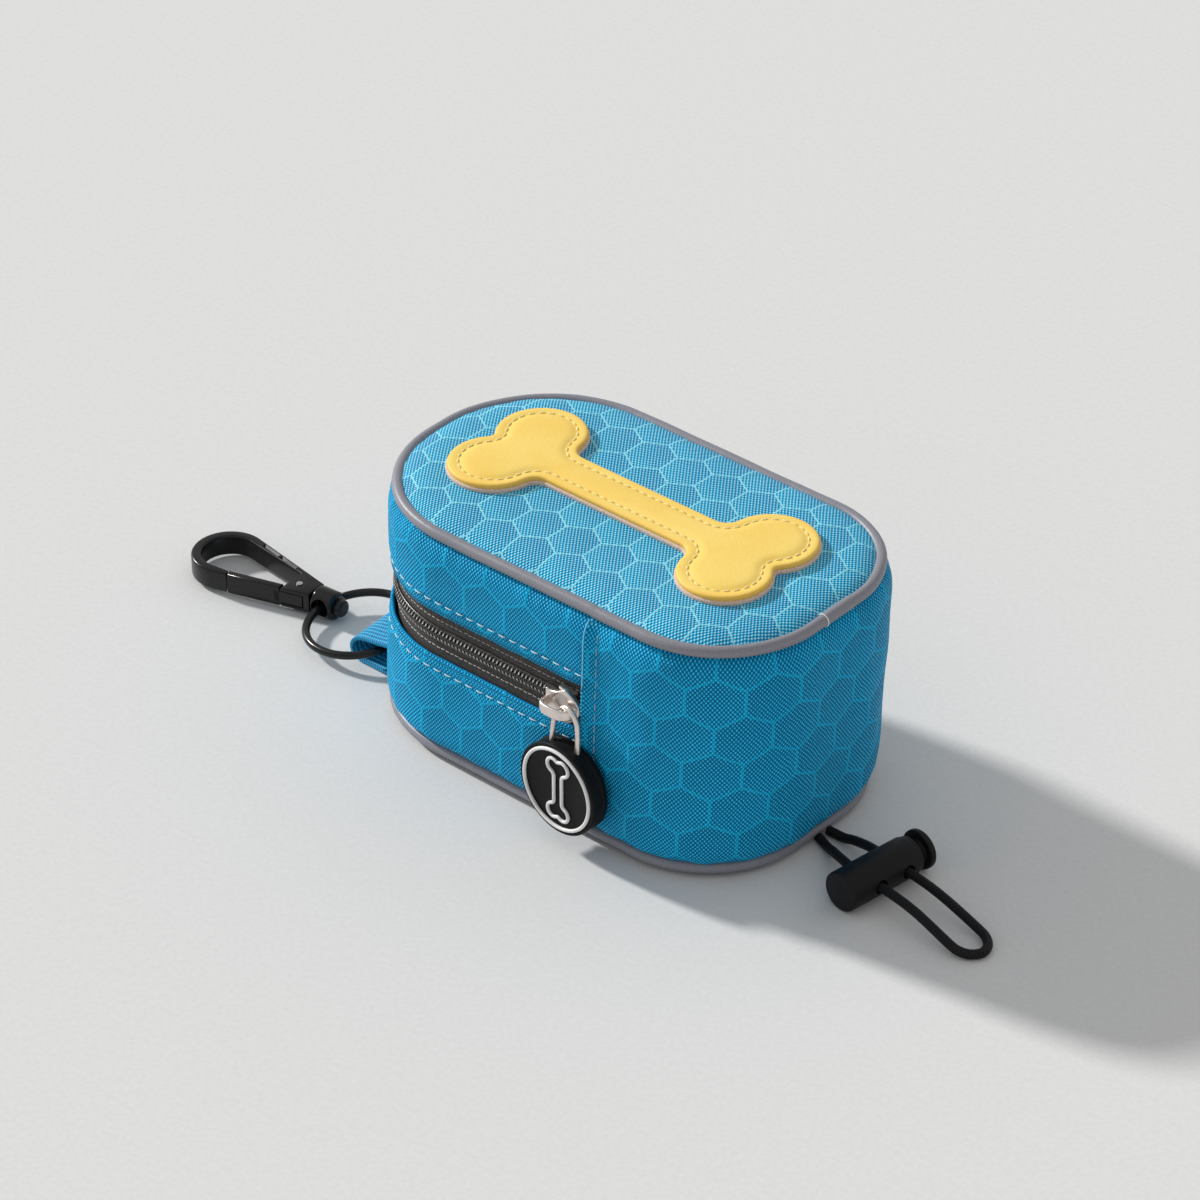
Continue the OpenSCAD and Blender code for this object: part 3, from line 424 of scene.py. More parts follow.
# A painted highlight, not a thread: pale blue for the bead along each fold's edge.
FOLD_HIGHLIGHT = thread("fold_edge_highlight", (0.02, 0.42, 0.74), (0.32, 0.80, 0.95))
GREY_THREAD = thread("grey_thread", (0.30, 0.28, 0.26), (0.72, 0.70, 0.67))
GOLD_THREAD = thread("gold_thread", (0.95, 0.70, 0.20), (1.0, 0.88, 0.48))
LEATHER = leather("yellow_leather")
FELT = felt("raw_leather")
WEBBING = webbing("blue_webbing")
FILM = wound_film("bag_film")
PAPER = paper("core_paper")


# ---- mesh helpers

def rework(obj, *steps):
    """Runs the steps on obj's mesh, opened as a bmesh."""
    work = bmesh.new()
    work.from_mesh(obj.data)
    for step in steps:
        step(work)
    work.to_mesh(obj.data)
    work.free()


def outwards(work):
    bmesh.ops.recalc_face_normals(work, faces=work.faces)


def creases(angle):
    """A step that shades edges sharp from this angle on, in degrees."""
    def step(work):
        for e in work.edges:
            e.smooth = len(e.link_faces) == 2 and e.calc_face_angle(0) < radians(angle)
        for f in work.faces:
            f.smooth = True
    return step


def bare_mesh(name, points, faces):
    mesh = bpy.data.meshes.new(name)
    mesh.from_pydata([(x * MM, y * MM, z * MM) for x, y, z in points], [], [list(map(int, f)) for f in faces])
    return mesh


def piece(name, form, material, body, slot, node=None, tidy=True):
    """A piece from a form (points in mm, faces, cloth coordinates), riding on its body. It may replace a node."""
    points, faces, flat = form
    mesh = bare_mesh(name, points, faces)
    layer = mesh.attributes.new("flat", "FLOAT_VECTOR", "POINT")
    layer.data.foreach_set("vector", np.asarray(flat, np.float32).ravel())
    mesh.validate()
    mesh.update()
    made = link(name, mesh)
    mesh.materials.append(material)
    for polygon in mesh.polygons:
        polygon.use_smooth = True
    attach(made, body)
    if tidy:
        rework(made, outwards)
    if node:
        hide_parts(node)
    return made


def evaluated(obj):
    """A new mesh of what obj shows."""
    bpy.context.view_layer.update()
    return bpy.data.meshes.new_from_object(obj.evaluated_get(bpy.context.evaluated_depsgraph_get()))


def apply_modifiers(obj):
    made = evaluated(obj)
    obj.modifiers.clear()
    old, obj.data = obj.data, made
    bpy.data.meshes.remove(old)


def grid_faces(rows, cols, wrap=False):
    """Quads of a grid with rows down and cols across."""
    last = cols if wrap else cols - 1
    return [(r * cols + c, r * cols + (c + 1) % cols, (r + 1) * cols + (c + 1) % cols, (r + 1) * cols + c)
            for r in range(rows - 1) for c in range(last)]


def caps(rows, cols):
    """The two end faces of a wrapped grid."""
    return [tuple(range(cols))[::-1], tuple((rows - 1) * cols + c for c in range(cols))]


def wobble(x, y, z=0.0):
    return noise.noise(Vector((x, y, z)))


def turn(count):
    return np.linspace(0, TAU, count, endpoint=False)


def fade(d, reach):
    return exp(-max(0.0, d) / reach)


def smooth_step(t):
    t = min(1.0, max(0.0, t))
    return t * t * (3 - 2 * t)


def tube(path, radius, sides=8, closed=False):
    """A form: a tube along a path in mm. radius may be a list."""
    p = np.asarray(path, float)
    n = len(p)
    t = np.roll(p, -1, 0) - np.roll(p, 1, 0) if closed else np.gradient(p, axis=0)
    t /= np.linalg.norm(t, axis=1)[:, None]
    radius = np.broadcast_to(radius, n)
    side = np.cross((0.0, 0.0, 1.0) if abs(t[0][2]) < 0.9 else (1.0, 0.0, 0.0), t[0])
    side /= np.linalg.norm(side)
    points, flat, run = [], [], 0.0
    for k in range(n):
        side = side - np.dot(side, t[k]) * t[k]
        side /= np.linalg.norm(side)
        up = np.cross(t[k], side)
        run += np.linalg.norm(p[k] - p[k - 1]) if k else 0
        for j in range(sides):
            a = TAU * j / sides
            points.append(p[k] + radius[k] * (cos(a) * side + sin(a) * up))
            flat.append((run, a * radius[k], 0))
    faces = grid_faces(n, sides, wrap=True)
    if closed:
        last = (n - 1) * sides
        faces += [(last + j, last + (j + 1) % sides, (j + 1) % sides, j) for j in range(sides)]
    else:
        faces += caps(n, sides)
    return points, faces, flat


def merge(pieces):
    """Several forms as one."""
    points, faces, flat = [], [], []
    for p, f, a in pieces:
        start = len(points)
        points += list(p)
        faces += [tuple(i + start for i in face) for face in f]
        flat += list(a)
    return points, faces, flat


def spline(points, steps=5, closed=False):
    """A smooth curve through the points."""
    p = [np.asarray(q, float) for q in points]
    n = len(p)
    out = []
    for k in range(n if closed else n - 1):
        a, b, c, d = ((p[(k + i) % n] if closed else p[min(n - 1, max(0, k + i))]) for i in (-1, 0, 1, 2))
        for j in range(steps):
            t = j / steps
            out.append(0.5 * (2 * b + (c - a) * t + (2 * a - 5 * b + 4 * c - d) * t * t
                              + (3 * b - a - 3 * c + d) * t ** 3))
    if not closed:
        out.append(p[-1])
    return out


def lathe(name, profile, place, material, body, slot, steps, node=None, ends=True):
    """A turned piece. profile holds (radius, along) in mm, and place maps (along, sideways, up) to the frame."""
    around = [(r, h, TAU * j / steps) for r, h in profile for j in range(steps)]
    points = [place(h, r * cos(a), r * sin(a)) for r, h, a in around]
    faces = grid_faces(len(profile), steps, wrap=True) + (caps(len(profile), steps) if ends else [])
    return piece(name, (points, faces, [(h, r * a, 0) for r, h, a in around]), material, body, slot, node)


def rounded(path, r):
    """A profile with its corners rounded by r and its ends kept."""
    out = [path[0]]
    for a, b, c in zip(path, path[1:], path[2:]):
        a, b, c = (np.asarray(q, float) for q in (a, b, c))
        u, v = a - b, c - b
        lu, lv = np.linalg.norm(u), np.linalg.norm(v)
        cut = min(r, lu * 0.45, lv * 0.45)
        p, q = b + u / lu * cut, b + v / lv * cut
        for k in range(4):
            t = k / 3
            out.append(tuple((1 - t) ** 2 * p + 2 * t * (1 - t) * b + t * t * q))
    out.append(path[-1])
    return out


def slab(name, shape, low, high, bevel, place, material, body, slot):
    """A flat outline in mm drawn up from low to high with rounded edges, put in the frame by place."""
    curve = assign(bpy.data.curves.new(name + "_outline", "CURVE"), dimensions="2D", fill_mode="BOTH",
                   extrude=(high - low) / 2 * MM - bevel * MM, bevel_depth=bevel * MM, bevel_resolution=3,
                   offset=-bevel * MM)
    line = curve.splines.new("POLY")
    line.points.add(len(shape) - 1)
    for point, (x, y) in zip(line.points, shape):
        point.co = (x * MM, y * MM, 0, 1)
    line.use_cyclic_u = True
    temp = link(name + "_outline", curve)
    made = evaluated(temp)
    bpy.data.objects.remove(temp)
    middle = (low + high) / 2
    points = [place(v.co.x / MM, v.co.y / MM, v.co.z / MM + middle) for v in made.vertices]
    faces = [tuple(f.vertices) for f in made.polygons]
    bpy.data.meshes.remove(made)
    obj = piece(name, (points, faces, points), material, body, slot, tidy=False)
    rework(obj, lambda work: bmesh.ops.remove_doubles(work, verts=work.verts, dist=0.02 * MM), outwards)
    rework(obj, creases(50))
    return obj


def cut(obj, form):
    """Takes a closed form out of obj."""
    tool = link("tool", bare_mesh("tool", *form[:2]))
    rework(tool, outwards)
    assign(obj.modifiers.new("cut", "BOOLEAN"), operation="DIFFERENCE", object=tool, solver="EXACT")
    apply_modifiers(obj)
    bpy.data.objects.remove(tool)
    rework(obj, creases(38))


# ---- the pouch's outline

def segments():
    """The piping's line from the front seam round the zip end, the back and the cord end."""
    straight = lambda a, b, n: ("line", dist(a, b), (a, b, n))
    corner = lambda c, r, a0, a1: ("arc", radians(abs(a1 - a0)) * r, (c, r, a0, a1))
    zy, cy = HALF_W - ZIP_R, HALF_W - CORD_R
    return [
        straight((SEAM_X, -HALF_W), (ZIP_X, -HALF_W), (0, -1)),
        corner((ZIP_X, -zy), ZIP_R, 270, 180),
        straight((-HALF_L, -zy), (-HALF_L, zy), (-1, 0)),
        corner((ZIP_X, zy), ZIP_R, 180, 90),
        straight((ZIP_X, HALF_W), (CORD_X, HALF_W), (0, 1)),
        corner((CORD_X, cy), CORD_R, 90, 0),
        straight((HALF_L, cy), (HALF_L, -cy), (1, 0)),
        corner((CORD_X, -cy), CORD_R, 0, -90),
        straight((CORD_X, -HALF_W), (SEAM_X, -HALF_W), (0, -1)),
    ]


SEGMENTS = segments()
AROUND = sum(s[1] for s in SEGMENTS)
ZIP_RUN = sum(s[1] for s in SEGMENTS[:4]) + (BACK_X - ZIP_X)


def outline(s):
    """(x, y, outward x, outward y) on the piping's line at length s from the front seam."""
    s = s % AROUND
    for kind, length, data in SEGMENTS:
        if s <= length:
            break
        s -= length
    if kind == "line":
        (ax, ay), (bx, by), (nx, ny) = data
        t = s / length
        return ax + (bx - ax) * t, ay + (by - ay) * t, nx, ny
    (cx, cy), r, a0, a1 = data
    a = radians(a0 + (a1 - a0) * s / length)
    return cx + r * cos(a), cy + r * sin(a), cos(a), sin(a)


def lean(z):
    """How far the soft pouch leans towards the zip end at height z."""
    t = (Z_TOP - z) / (Z_TOP - Z_LOW)
    return -2.2 * max(0.0, t) ** 1.6


def on_wall(s, o, z, leaning=True):
    x, y, nx, ny = outline(s)
    return (x + nx * o + (lean(z) if leaning else 0), y + ny * o, z)


OUTLET_S = ZIP_RUN + (4.5 - BACK_X)


def wall_offset(s, z):
    """How far the cloth stands outside the piping's line."""
    d = max(0.0, min(z - Z_LOW, Z_TOP - z))
    o = -0.6 + 3.05 * (1 - fade(d - 0.6, 1.7))
    near = fade(d - 1, 3.5)
    o += near * 0.30 * wobble(s / 2.6, z / 9, 3.1) * 1.4
    o += 0.42 * wobble(s / 15, z / 13, 7.7) * (1 - fade(d, 6))
    o += 0.14 * wobble(s / 5, z / 7, 1.3) * (1 - fade(d, 5))
    if s % AROUND < ZIP_RUN:
        beside = fade(abs(z - ZIP_Z) - LIP, 5)
        o += (1.62 - o) * beside
        o = 2.12 - 0.16 * log(1 + exp((2.12 - o) / 0.16))
    away = hypot((s - OUTLET_S) / 15, (z - OUTLET_Z) / 9)
    flat = smooth_step(1.6 - away)
    o += (1.7 - o) * flat if d > 4 else 0
    return o


# ---- walls

def wall(name, form, node):
    """A piece of the wall from its outer face, given its thickness inwards and a lining."""
    made = piece(name, form, BLUE, "pouch", "blue_fabric", tidy=False)
    made.data.materials.append(LINING)
    assign(made.modifiers.new("solid", "SOLIDIFY"), thickness=CLOTH_T * MM, offset=-1, material_offset=1,
           material_offset_rim=0)
    apply_modifiers(made)
    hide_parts(node)


def zip_wall(name, side, node):
    """The wall over or under the zip, rolled in over the tape at its lip."""
    columns = np.linspace(0.0, ZIP_RUN, 240)
    ends = [0.5 * (fade(s, 1.4) + fade(ZIP_RUN - s, 1.4)) for s in columns]
    fold = [(0.62, 7.4), (0.64, 6.5), (0.74, 5.8), (1.02, 5.42), (1.38, 5.44), (1.58, 5.8)]
    far = Z_TOP - EDGE if side > 0 else Z_LOW + EDGE
    start = ZIP_Z + side * 6.4
    heights = np.linspace(start, far, 2 + int(abs(far - start) / 0.55))
    points, flat = [], []
    for o_lip, dz in fold:
        for s, end in zip(columns, ends):
            z = ZIP_Z + side * (dz + 0.12 * wobble(s / 6, 2.0 * side, 5.5))
            points.append(on_wall(s, o_lip - end + 0.1 * wobble(s / 4, side, 9.0), z))
            flat.append((s, ZIP_Z + side * (dz if o_lip > 1.2 else 10.9 - dz), 0))
    for z in heights:
        stitch = -0.30 * exp(-((abs(z - ZIP_Z) - LIP_SEAM) / 0.6) ** 2)
        roll = -0.25 * exp(-(abs(z - ZIP_Z) - 6.2) / 0.6)
        for s, end in zip(columns, ends):
            points.append(on_wall(s, wall_offset(s, z) - end + stitch + roll, z))
            flat.append((s, z, 0))
    faces = grid_faces(len(fold) + len(heights), len(columns))
    if side > 0:
        faces = [f[::-1] for f in faces]
    wall(name, (points, faces, flat), node)


def gusset():
    """The wall without a zip, its ends folded over the zip walls, with the outlet's hole."""
    run = AROUND - ZIP_RUN
    middle = np.linspace(0.45, run - 0.45, 300)
    inside = np.concatenate([[0.15, 0.05, 0.0, 0.12], middle, [run - 0.12, run, run - 0.05, run - 0.15]])
    drop = [1.6, 0.9, 0.35, 0.1] + [0.0] * len(middle) + [0.1, 0.35, 0.9, 1.6]
    heights = np.linspace(Z_LOW + EDGE, Z_TOP - EDGE, 96)
    points, flat = [], []
    for z in heights:
        for c, down in zip(inside, drop):
            s = ZIP_RUN + c
            end = min(c, run - c)
            ridge = 0.85 * exp(-(end / 1.1) ** 2)
            stitch = -0.28 * exp(-((end - FOLD_SEAM) / 0.55) ** 2)
            points.append(on_wall(s, wall_offset(s, z) + ridge + stitch - down, z))
            flat.append((s, z, 0))
    faces = []
    for f in grid_faces(len(heights), len(inside)):
        s, z = (np.mean([flat[i][k] for i in f]) for k in (0, 1))
        if hypot(max(0.0, abs(s - OUTLET_S) - OUTLET_HALF), z - OUTLET_Z) > OUTLET_R:
            faces.append(f[::-1])
    wall("gusset_cloth", (points, faces, flat), "gusset_wall")


zip_wall("upper_wall_cloth", 1, "upper_zip_wall")
zip_wall("lower_wall_cloth", -1, "lower_zip_wall")
gusset()


# ---- lid, base and piping

OUTLINE = np.array([outline(s)[:2] for s in np.linspace(0, AROUND, 700, endpoint=False)])


def panel(name, z_edge, rise, upward, node):
    """The lid or base: a sheet that leaves the piping and swells, with small puckers at the seam."""
    cols, rows = 300, 34
    points, flat = [], []
    for r in range(rows):
        t = (r / (rows - 1)) ** 1.25
        for c in range(cols):
            s = AROUND * c / cols
            x, y, nx, ny = outline(s)
            ox, oy = x - nx * 0.7, y - ny * 0.7
            sx = min(CORD_X - 4, max(ZIP_X + 2, x))
            px, py = ox + (sx - ox) * t, oy + (0.0 - oy) * t
            d = np.min(np.hypot(OUTLINE[:, 0] - px, OUTLINE[:, 1] - py))
            z = rise * (1 - fade(d - 0.6, 2.6))
            z += 0.34 * fade(d, 3.2) * wobble(s / 2.7, d / 5, 4.4)
            z += 0.20 * wobble(px / 14, py / 14, 2.2) * (1 - fade(d, 6))
            z = min(z, rise + 0.02)
            points.append((px + lean(z_edge), py, z_edge + upward * z))
            flat.append((px, py, 0))
    faces = grid_faces(rows, cols, wrap=True)
    faces.append(tuple((rows - 1) * cols + c for c in range(cols)))
    if upward < 0:
        faces = [f[::-1] for f in faces]
    made = piece(name, (points, faces, flat), LID_BLUE, "pouch", "blue_fabric", node)


panel("lid_cloth", Z_TOP + 0.35, 2.22, 1, "top_panel")
panel("base_cloth", Z_LOW - 0.35, 1.85, -1, "bottom_panel")


def welt_shift(s, z):
    """How far the welt strays from its line, outwards and up."""
    return 0.10 * wobble(s / 9, z, 1.0), 0.16 * wobble(s / 12, z, 6.0)


def piping(name, z, joint, node):
    """A PVC welt with faint puckers on the bends and a sleeve over its joint, at length joint."""
    count = 520
    path, radius = [], []
    for k in range(count):
        s = AROUND * k / count
        x, y, nx, ny = outline(s)
        o, up = welt_shift(s, z)
        path.append((x + nx * o + lean(z), y + ny * o, z + up))
        lap = smooth_step((4.6 - abs(s - joint)) / 0.5)
        radius.append(PIPE_R * (1 + 0.02 * wobble(s / 1.6, z, 2.0) + SLEEVE * lap))
    piece(name, tube(path, radius, 14, closed=True), PVC, "pouch", "grey_piping", node)


def welt_cut(s):
    """The pale cut end of the sleeve over the top welt's joint."""
    x, y, nx, ny = outline(s)
    o, up = welt_shift(s, Z_TOP)
    r = PIPE_R * (1 + SLEEVE)
    loop = [(x + nx * (o + r * cos(a)) + lean(Z_TOP), y + ny * (o + r * cos(a)), Z_TOP + up + r * sin(a))
            for a in turn(40)]
    piece("welt_cut", tube(loop, 0.13, 8, closed=True), WHITE, "pouch", "grey_piping")


SLEEVE = 0.085  # how much thicker the sleeve is than the welt
piping("top_welt", Z_TOP, 227.2, "top_piping")
piping("bottom_welt", Z_LOW, 60.0, "bottom_piping")
welt_cut(231.5)


# ---- stitches

def stitch_line(at, length, pitch=2.9, dash=1.9, r=0.2, lift=0.10, start=0.0):
    """Dashes of thread along a line. at(s) gives the place and the outward direction at length s."""
    pieces = []
    count = int((length - dash) / pitch) + 1
    for k in range(count):
        s0 = start + k * pitch + 0.12 * wobble(k * 1.7, 0.3)
        path = []
        for t in (0, 0.12, 0.35, 0.65, 0.88, 1):
            p, out = at(s0 + dash * t)
            h = lift * 2 * sin(pi * t) ** 0.6 + (-0.22 if t in (0, 1) else 0)
            path.append(np.asarray(p) + np.asarray(out) * h)
        pieces.append(tube(path, [r * 0.6, r * 0.9, r, r, r * 0.9, r * 0.6], 6))
    return merge(pieces)


def wall_line(dip, s=None, z=None):
    """A line of stitches on the wall: round it at height z, or up it at length s."""
    def at(v):
        here, height = (v, z) if s is None else (s, v)
        return on_wall(here, wall_offset(here, height) - dip, height), (*outline(here)[2:], 0)
    return at


SEAM_ENDS = (AROUND, -1), (ZIP_RUN, 1)
piece("zip_lip_stitches", merge([
    stitch_line(wall_line(0.28, z=ZIP_Z + side * LIP_SEAM), ZIP_RUN - 2.4, r=0.15, start=1.2) for side in (1, -1)
]), WHITE_THREAD, "pouch", "blue_fabric")
piece("seam_stitches", merge([
    stitch_line(wall_line(0.26, s=s + side * FOLD_SEAM), 50, 2.7, 2.1, 0.15, 0.06, Z_LOW + 1.6)
    for s, side in SEAM_ENDS
]), BLUE_THREAD, "pouch", "blue_fabric")
# A bead along the edge of each fold, coloured as a pale painted highlight.
piece("seam_folds", merge([
    tube([on_wall(s, wall_offset(s, z) + 0.62, z) for z in np.linspace(Z_LOW + 1.4, Z_TOP - 1.4, 70)], 0.2, 8)
    for s in (end + side * 0.08 for end, side in SEAM_ENDS)
]), FOLD_HIGHLIGHT, "pouch", "blue_fabric")


# ---- zip

def coil_row(name, side, node):
    """One row of the coil: a loop of nylon for each tooth, leaning a little, interlocked at the middle."""
    pitch = 0.98
    start = 5.8
    parts = []
    for k in range(int((ZIP_RUN - start - 3.2) / pitch)):
        s = start + pitch * (k + (0.5 if side < 0 else 0))
        x, y, nx, ny = outline(s)
        loop = []
        for j in range(12):
            a = TAU * j / 12
            along = 0.26 * sin(a) + 0.14 * cos(a)
            up = 0.52 + 0.84 * -cos(a)
            out = 1.08 + 0.18 * cos(a + 0.5) + 0.26 * sin(a)
            loop.append((x + nx * out + ny * along, y + ny * out - nx * along, ZIP_Z + side * up))
        p, f, _ = tube(loop, 0.20, 6, closed=True)
        # The third coordinate, how far out a point stands, places the coil's painted highlight.
        parts.append((p, f, [(s, q[2] - ZIP_Z, (q[0] - x) * nx + (q[1] - y) * ny) for q in p]))
    strip = [on_wall(s, 0.85, ZIP_Z + side * 1.55, False) for s in np.linspace(start, ZIP_RUN - 2, 200)]
    p, f, _ = tube(strip, 0.26, 6)
    # The strip's coordinates keep it out of the painted highlight.
    parts.append((p, f, [(0.0, 0.0, 1.02)] * len(p)))
    piece(name, merge(parts), COIL, "pouch", "nylon_coil", node)


coil_row("coil_upper", 1, "upper_zip_teeth")
coil_row("coil_lower", -1, "lower_zip_teeth")


def tape_line(z):
    return lambda s: (on_wall(s, 0.60, z + 0.06 * sin(s * 2.1), False), (*outline(s)[2:], 0))


piece("tape_stitches", merge([
    stitch_line(tape_line(ZIP_Z - 3.35), ZIP_RUN - 2, 1.25, 0.95, 0.13, 0.07, 0.8),
    stitch_line(tape_line(ZIP_Z + 3.35), ZIP_RUN - 2, 1.25, 0.95, 0.1, 0.03, 0.8),
]), GREY_THREAD, "pouch", "dark_tape")


def front(x, z, o):
    """A point over the front wall, o outside the piping's line."""
    return (x, -HALF_W - o, z)


def slider():
    """Slider: a horned outer plate with a hollow, a broad crown over the wire, and the plate behind the tape."""
    horn = [(-4.4, 2.6), (-3.4, 2.5), (-2.4, 2.65), (-1.5, 2.95), (-0.6, 3.5), (0.2, 4.0), (0.6, 4.1), (1.0, 3.95),
            (2.1, 3.35), (3.2, 2.65), (4.1, 1.7), (4.45, 0.9), (4.5, 0), (4.2, -0.9), (3.5, -1.8), (2.6, -2.6),
            (1.6, -3.4), (0.9, -3.7), (0.2, -3.6), (-1.0, -3.2), (-2.4, -2.9), (-4.0, -3.0), (-4.5, -2.7),
            (-4.45, -1.0), (-4.35, 0.6)]
    horn = [tuple(q[:2]) for q in spline([(x, y, 0) for x, y in horn], 4, closed=True)]
    place = lambda x, y, z: front(SLIDER_X + x, ZIP_Z + y, z)
    look = (place, NICKEL, "slider", "nickel")
    plate = slab("slider_plate", horn, 2.1, 3.3, 0.28, *look)
    hollow = [place(-0.5, 0.9, z) for z in (2.62, 2.75, 3.05, 3.45)]
    cut(plate, tube(hollow, [0.7, 1.5, 1.95, 2.1], 40))
    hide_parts("zip_slider")
    slab("slider_back_plate", [(x * 0.96, y * 0.9) for x, y in horn], -1.5, -0.35, 0.3, *look)
    slab("slider_post", [(2.1, -0.4), (3.7, -0.4), (3.7, 0.4), (2.1, 0.4)], 1.78, 2.3, 0.1, *look)
    for side, name in ((-1, "slider_flange_low"), (1, "slider_flange_high")):
        edge = [(-1.6, side * 3.3), (2.2, side * 2.6), (2.2, side * 3.1), (-1.6, side * 3.9)]
        slab(name, edge, 0.9, 2.4, 0.1, *look)
    # crown: a broad strap that leaves the plate, stands over the wire and comes back
    path = [(-4.15, 2.6), (-4.2, 3.9), (-3.95, 5.0), (-3.2, 5.65), (-2.0, 5.9), (-0.4, 5.95), (1.0, 5.75), (2.2, 5.2),
            (3.0, 4.4), (3.35, 3.5), (3.4, 2.7)]
    path = spline([(x, o, 0) for x, o in path], 5)
    points, flat, sides, thick = [], [], 20, 0.42
    for k, (x, o, _) in enumerate(path):
        t = k / (len(path) - 1)
        before, after = path[max(0, k - 1)], path[min(len(path) - 1, k + 1)]
        d = np.array((after[0] - before[0], after[1] - before[1]))
        d /= np.linalg.norm(d)
        nx, no = -d[1], d[0]
        wide = 1.05 + 0.16 * sin(pi * t)
        for j in range(sides):
            a = TAU * j / sides
            ca, sa = cos(a), sin(a)
            w = wide * (abs(ca) ** 0.55) * (1 if ca > 0 else -1)
            h = thick * (abs(sa) ** 0.7) * (1 if sa > 0 else -1)
            points.append(place(x + nx * h, -0.28 + w, o + no * h))
            flat.append((x, w, 0))
    faces = grid_faces(len(path), sides, wrap=True) + caps(len(path), sides)
    piece("slider_crown", (points, faces, flat), *look[1:])


slider()


# ---- pull

def wire():
    """The pull's wire: one bent piece through the crown, both legs into the disc's rim."""
    path = [(-0.95, -9.0, 5.25), (-0.95, -7.6, 5.2), (-0.9, -5.0, 4.95), (-0.88, -3.2, 4.7), (-0.75, -2.0, 4.55),
            (-0.3, -1.0, 4.4), (0.5, 0.05, 4.3), (1.35, 0.95, 4.35), (2.45, 1.4, 4.5), (3.6, 1.2, 4.65),
            (4.6, 0.3, 4.75), (5.3, -1.2, 4.8), (5.6, -3.0, 4.95), (5.7, -5.0, 5.05), (5.7, -7.2, 5.2),
            (5.7, -9.0, 5.25)]
    path = spline([front(SLIDER_X + x, ZIP_Z + z, o) for x, z, o in path], 6)
    piece("pull_wire_bent", tube(path, 0.58, 14), NICKEL, "pull", "nickel", "pull_wire")


def on_disc(h, x, z):
    """A point of the disc: h over its back, x and z from its centre, with the disc turned a little outwards."""
    c, s = cos(TAG_TURN), sin(TAG_TURN)
    h -= TAG_T / 2
    return front(PULL_X + x * c + h * s, TAG_Z + z, TAG_O + TAG_T / 2 + h * c - x * s)


def disc():
    profile = rounded([(0.01, 0), (10.1, 0), (TAG_R, 0.3), (TAG_R, 1.2), (10.2, 1.35), (10.2, 2.9), (TAG_R, 3.05),
                       (TAG_R, TAG_T), (9.8, TAG_T), (9.65, TAG_T - 0.3), (0.01, TAG_T - 0.3)], 0.4)
    made = lathe("pull_disc", profile, on_disc, RUBBER, "pull", "black_rubber", 96, ends=False)
    rework(made, creases(60))
    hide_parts("pull_tag")


def arc(cx, cy, r, a0, a1, n):
    angles = (radians(a0 + (a1 - a0) * k / n) for k in range(n + 1))
    return [(cx + r * cos(a), cy + r * sin(a)) for a in angles]


def bone_outline(lx, ly, r, w, f, g):
    """The same bone as in the CAD: lobes at (lx, ly) of radius r, half shaft w, fillets f and g."""
    notch = lx + sqrt((r + g) ** 2 - ly * ly)
    fx = lx - sqrt((r + f) ** 2 - (w + f - ly) ** 2)
    an = degrees(atan2(ly, lx - notch))
    af = degrees(atan2(w + f - ly, fx - lx))
    q = (arc(notch, 0, g, 180, an, 4) + arc(lx, ly, r, an - 180, af, 18)[1:]
         + arc(fx, w + f, f, af - 180, -90, 6)[1:])
    flip = lambda p: p[:0:-1]
    return q + flip([(-x, y) for x, y in q]) + [(-x, -y) for x, y in q] + flip([(x, -y) for x, y in q])


def even(loop, count):
    """The closed loop again with evenly spaced points."""
    p = np.array(loop + [loop[0]], float)
    run = np.concatenate([[0], np.cumsum(np.linalg.norm(np.diff(p, axis=0), axis=1))])
    at = np.linspace(0, run[-1], count, endpoint=False)
    return np.stack([np.interp(at, run, p[:, 0]), np.interp(at, run, p[:, 1])], 1), run[-1]


def emblem():
    face = TAG_T - 0.04
    ring = [on_disc(face + 0.06, 9.1 * cos(a), 9.1 * sin(a)) for a in turn(120)]
    bone, _ = even(bone_outline(5.5, 1.3, 1.6, 1.1, 1.1, 0.8), 150)
    line = [on_disc(face - 0.04, 0.3 - y, x) for x, y in bone]
    form = merge([tube(ring, 0.4, 12, closed=True), tube(line, 0.38, 12, closed=True)])
    piece("pull_emblem", form, WHITE, "pull", "white_rubber", "tag_emblem")


wire()
disc()
emblem()


# ---- bone patch

def bone_loop(grow):
    lx, ly, r, w, f, g = BONE
    return bone_outline(lx, ly, r + grow, w + grow, f - grow, g - grow)


def patch(name, rings, material, slot, node):
    """A bone built of rings (grow, height), the last one filled."""
    points, flat = [], []
    for grow, z in rings:
        loop = bone_loop(grow)
        for x, y in loop:
            low = 0.10 * wobble(x / 9, y / 9, 8.0) if grow < -1 else 0
            points.append((x, y, PATCH_Z + z + low))
            flat.append((x, y, -grow - 1))
    faces = grid_faces(len(rings), len(loop), wrap=True) + caps(len(rings), len(loop))[::-1]
    made = piece(name, (points, faces, flat), material, "pouch", slot, tidy=False)
    rework(made, lambda work: bmesh.ops.triangulate(work, faces=[f for f in work.faces if len(f.verts) > 4]), outwards)
    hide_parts(node)


patch("patch_backing", [(0.2, -0.25), (0.34, 0.0), (0.36, 0.45), (0.26, 0.78), (0.0, 0.84)],
      FELT, "beige_felt", "patch_felt")
patch("patch_leather", [(-0.1, 0.75), (0.0, 0.95), (0.02, 1.3), (-0.12, 1.6), (-0.42, 1.76), (-0.9, 1.79), (-1.6, 1.76),
                        (-2.0, 1.68), (-2.3, 1.62), (-2.6, 1.66), (-3.1, 1.84), (-3.8, 1.98), (-4.6, 2.02)],
      LEATHER, "yellow_leather", "bone_patch")


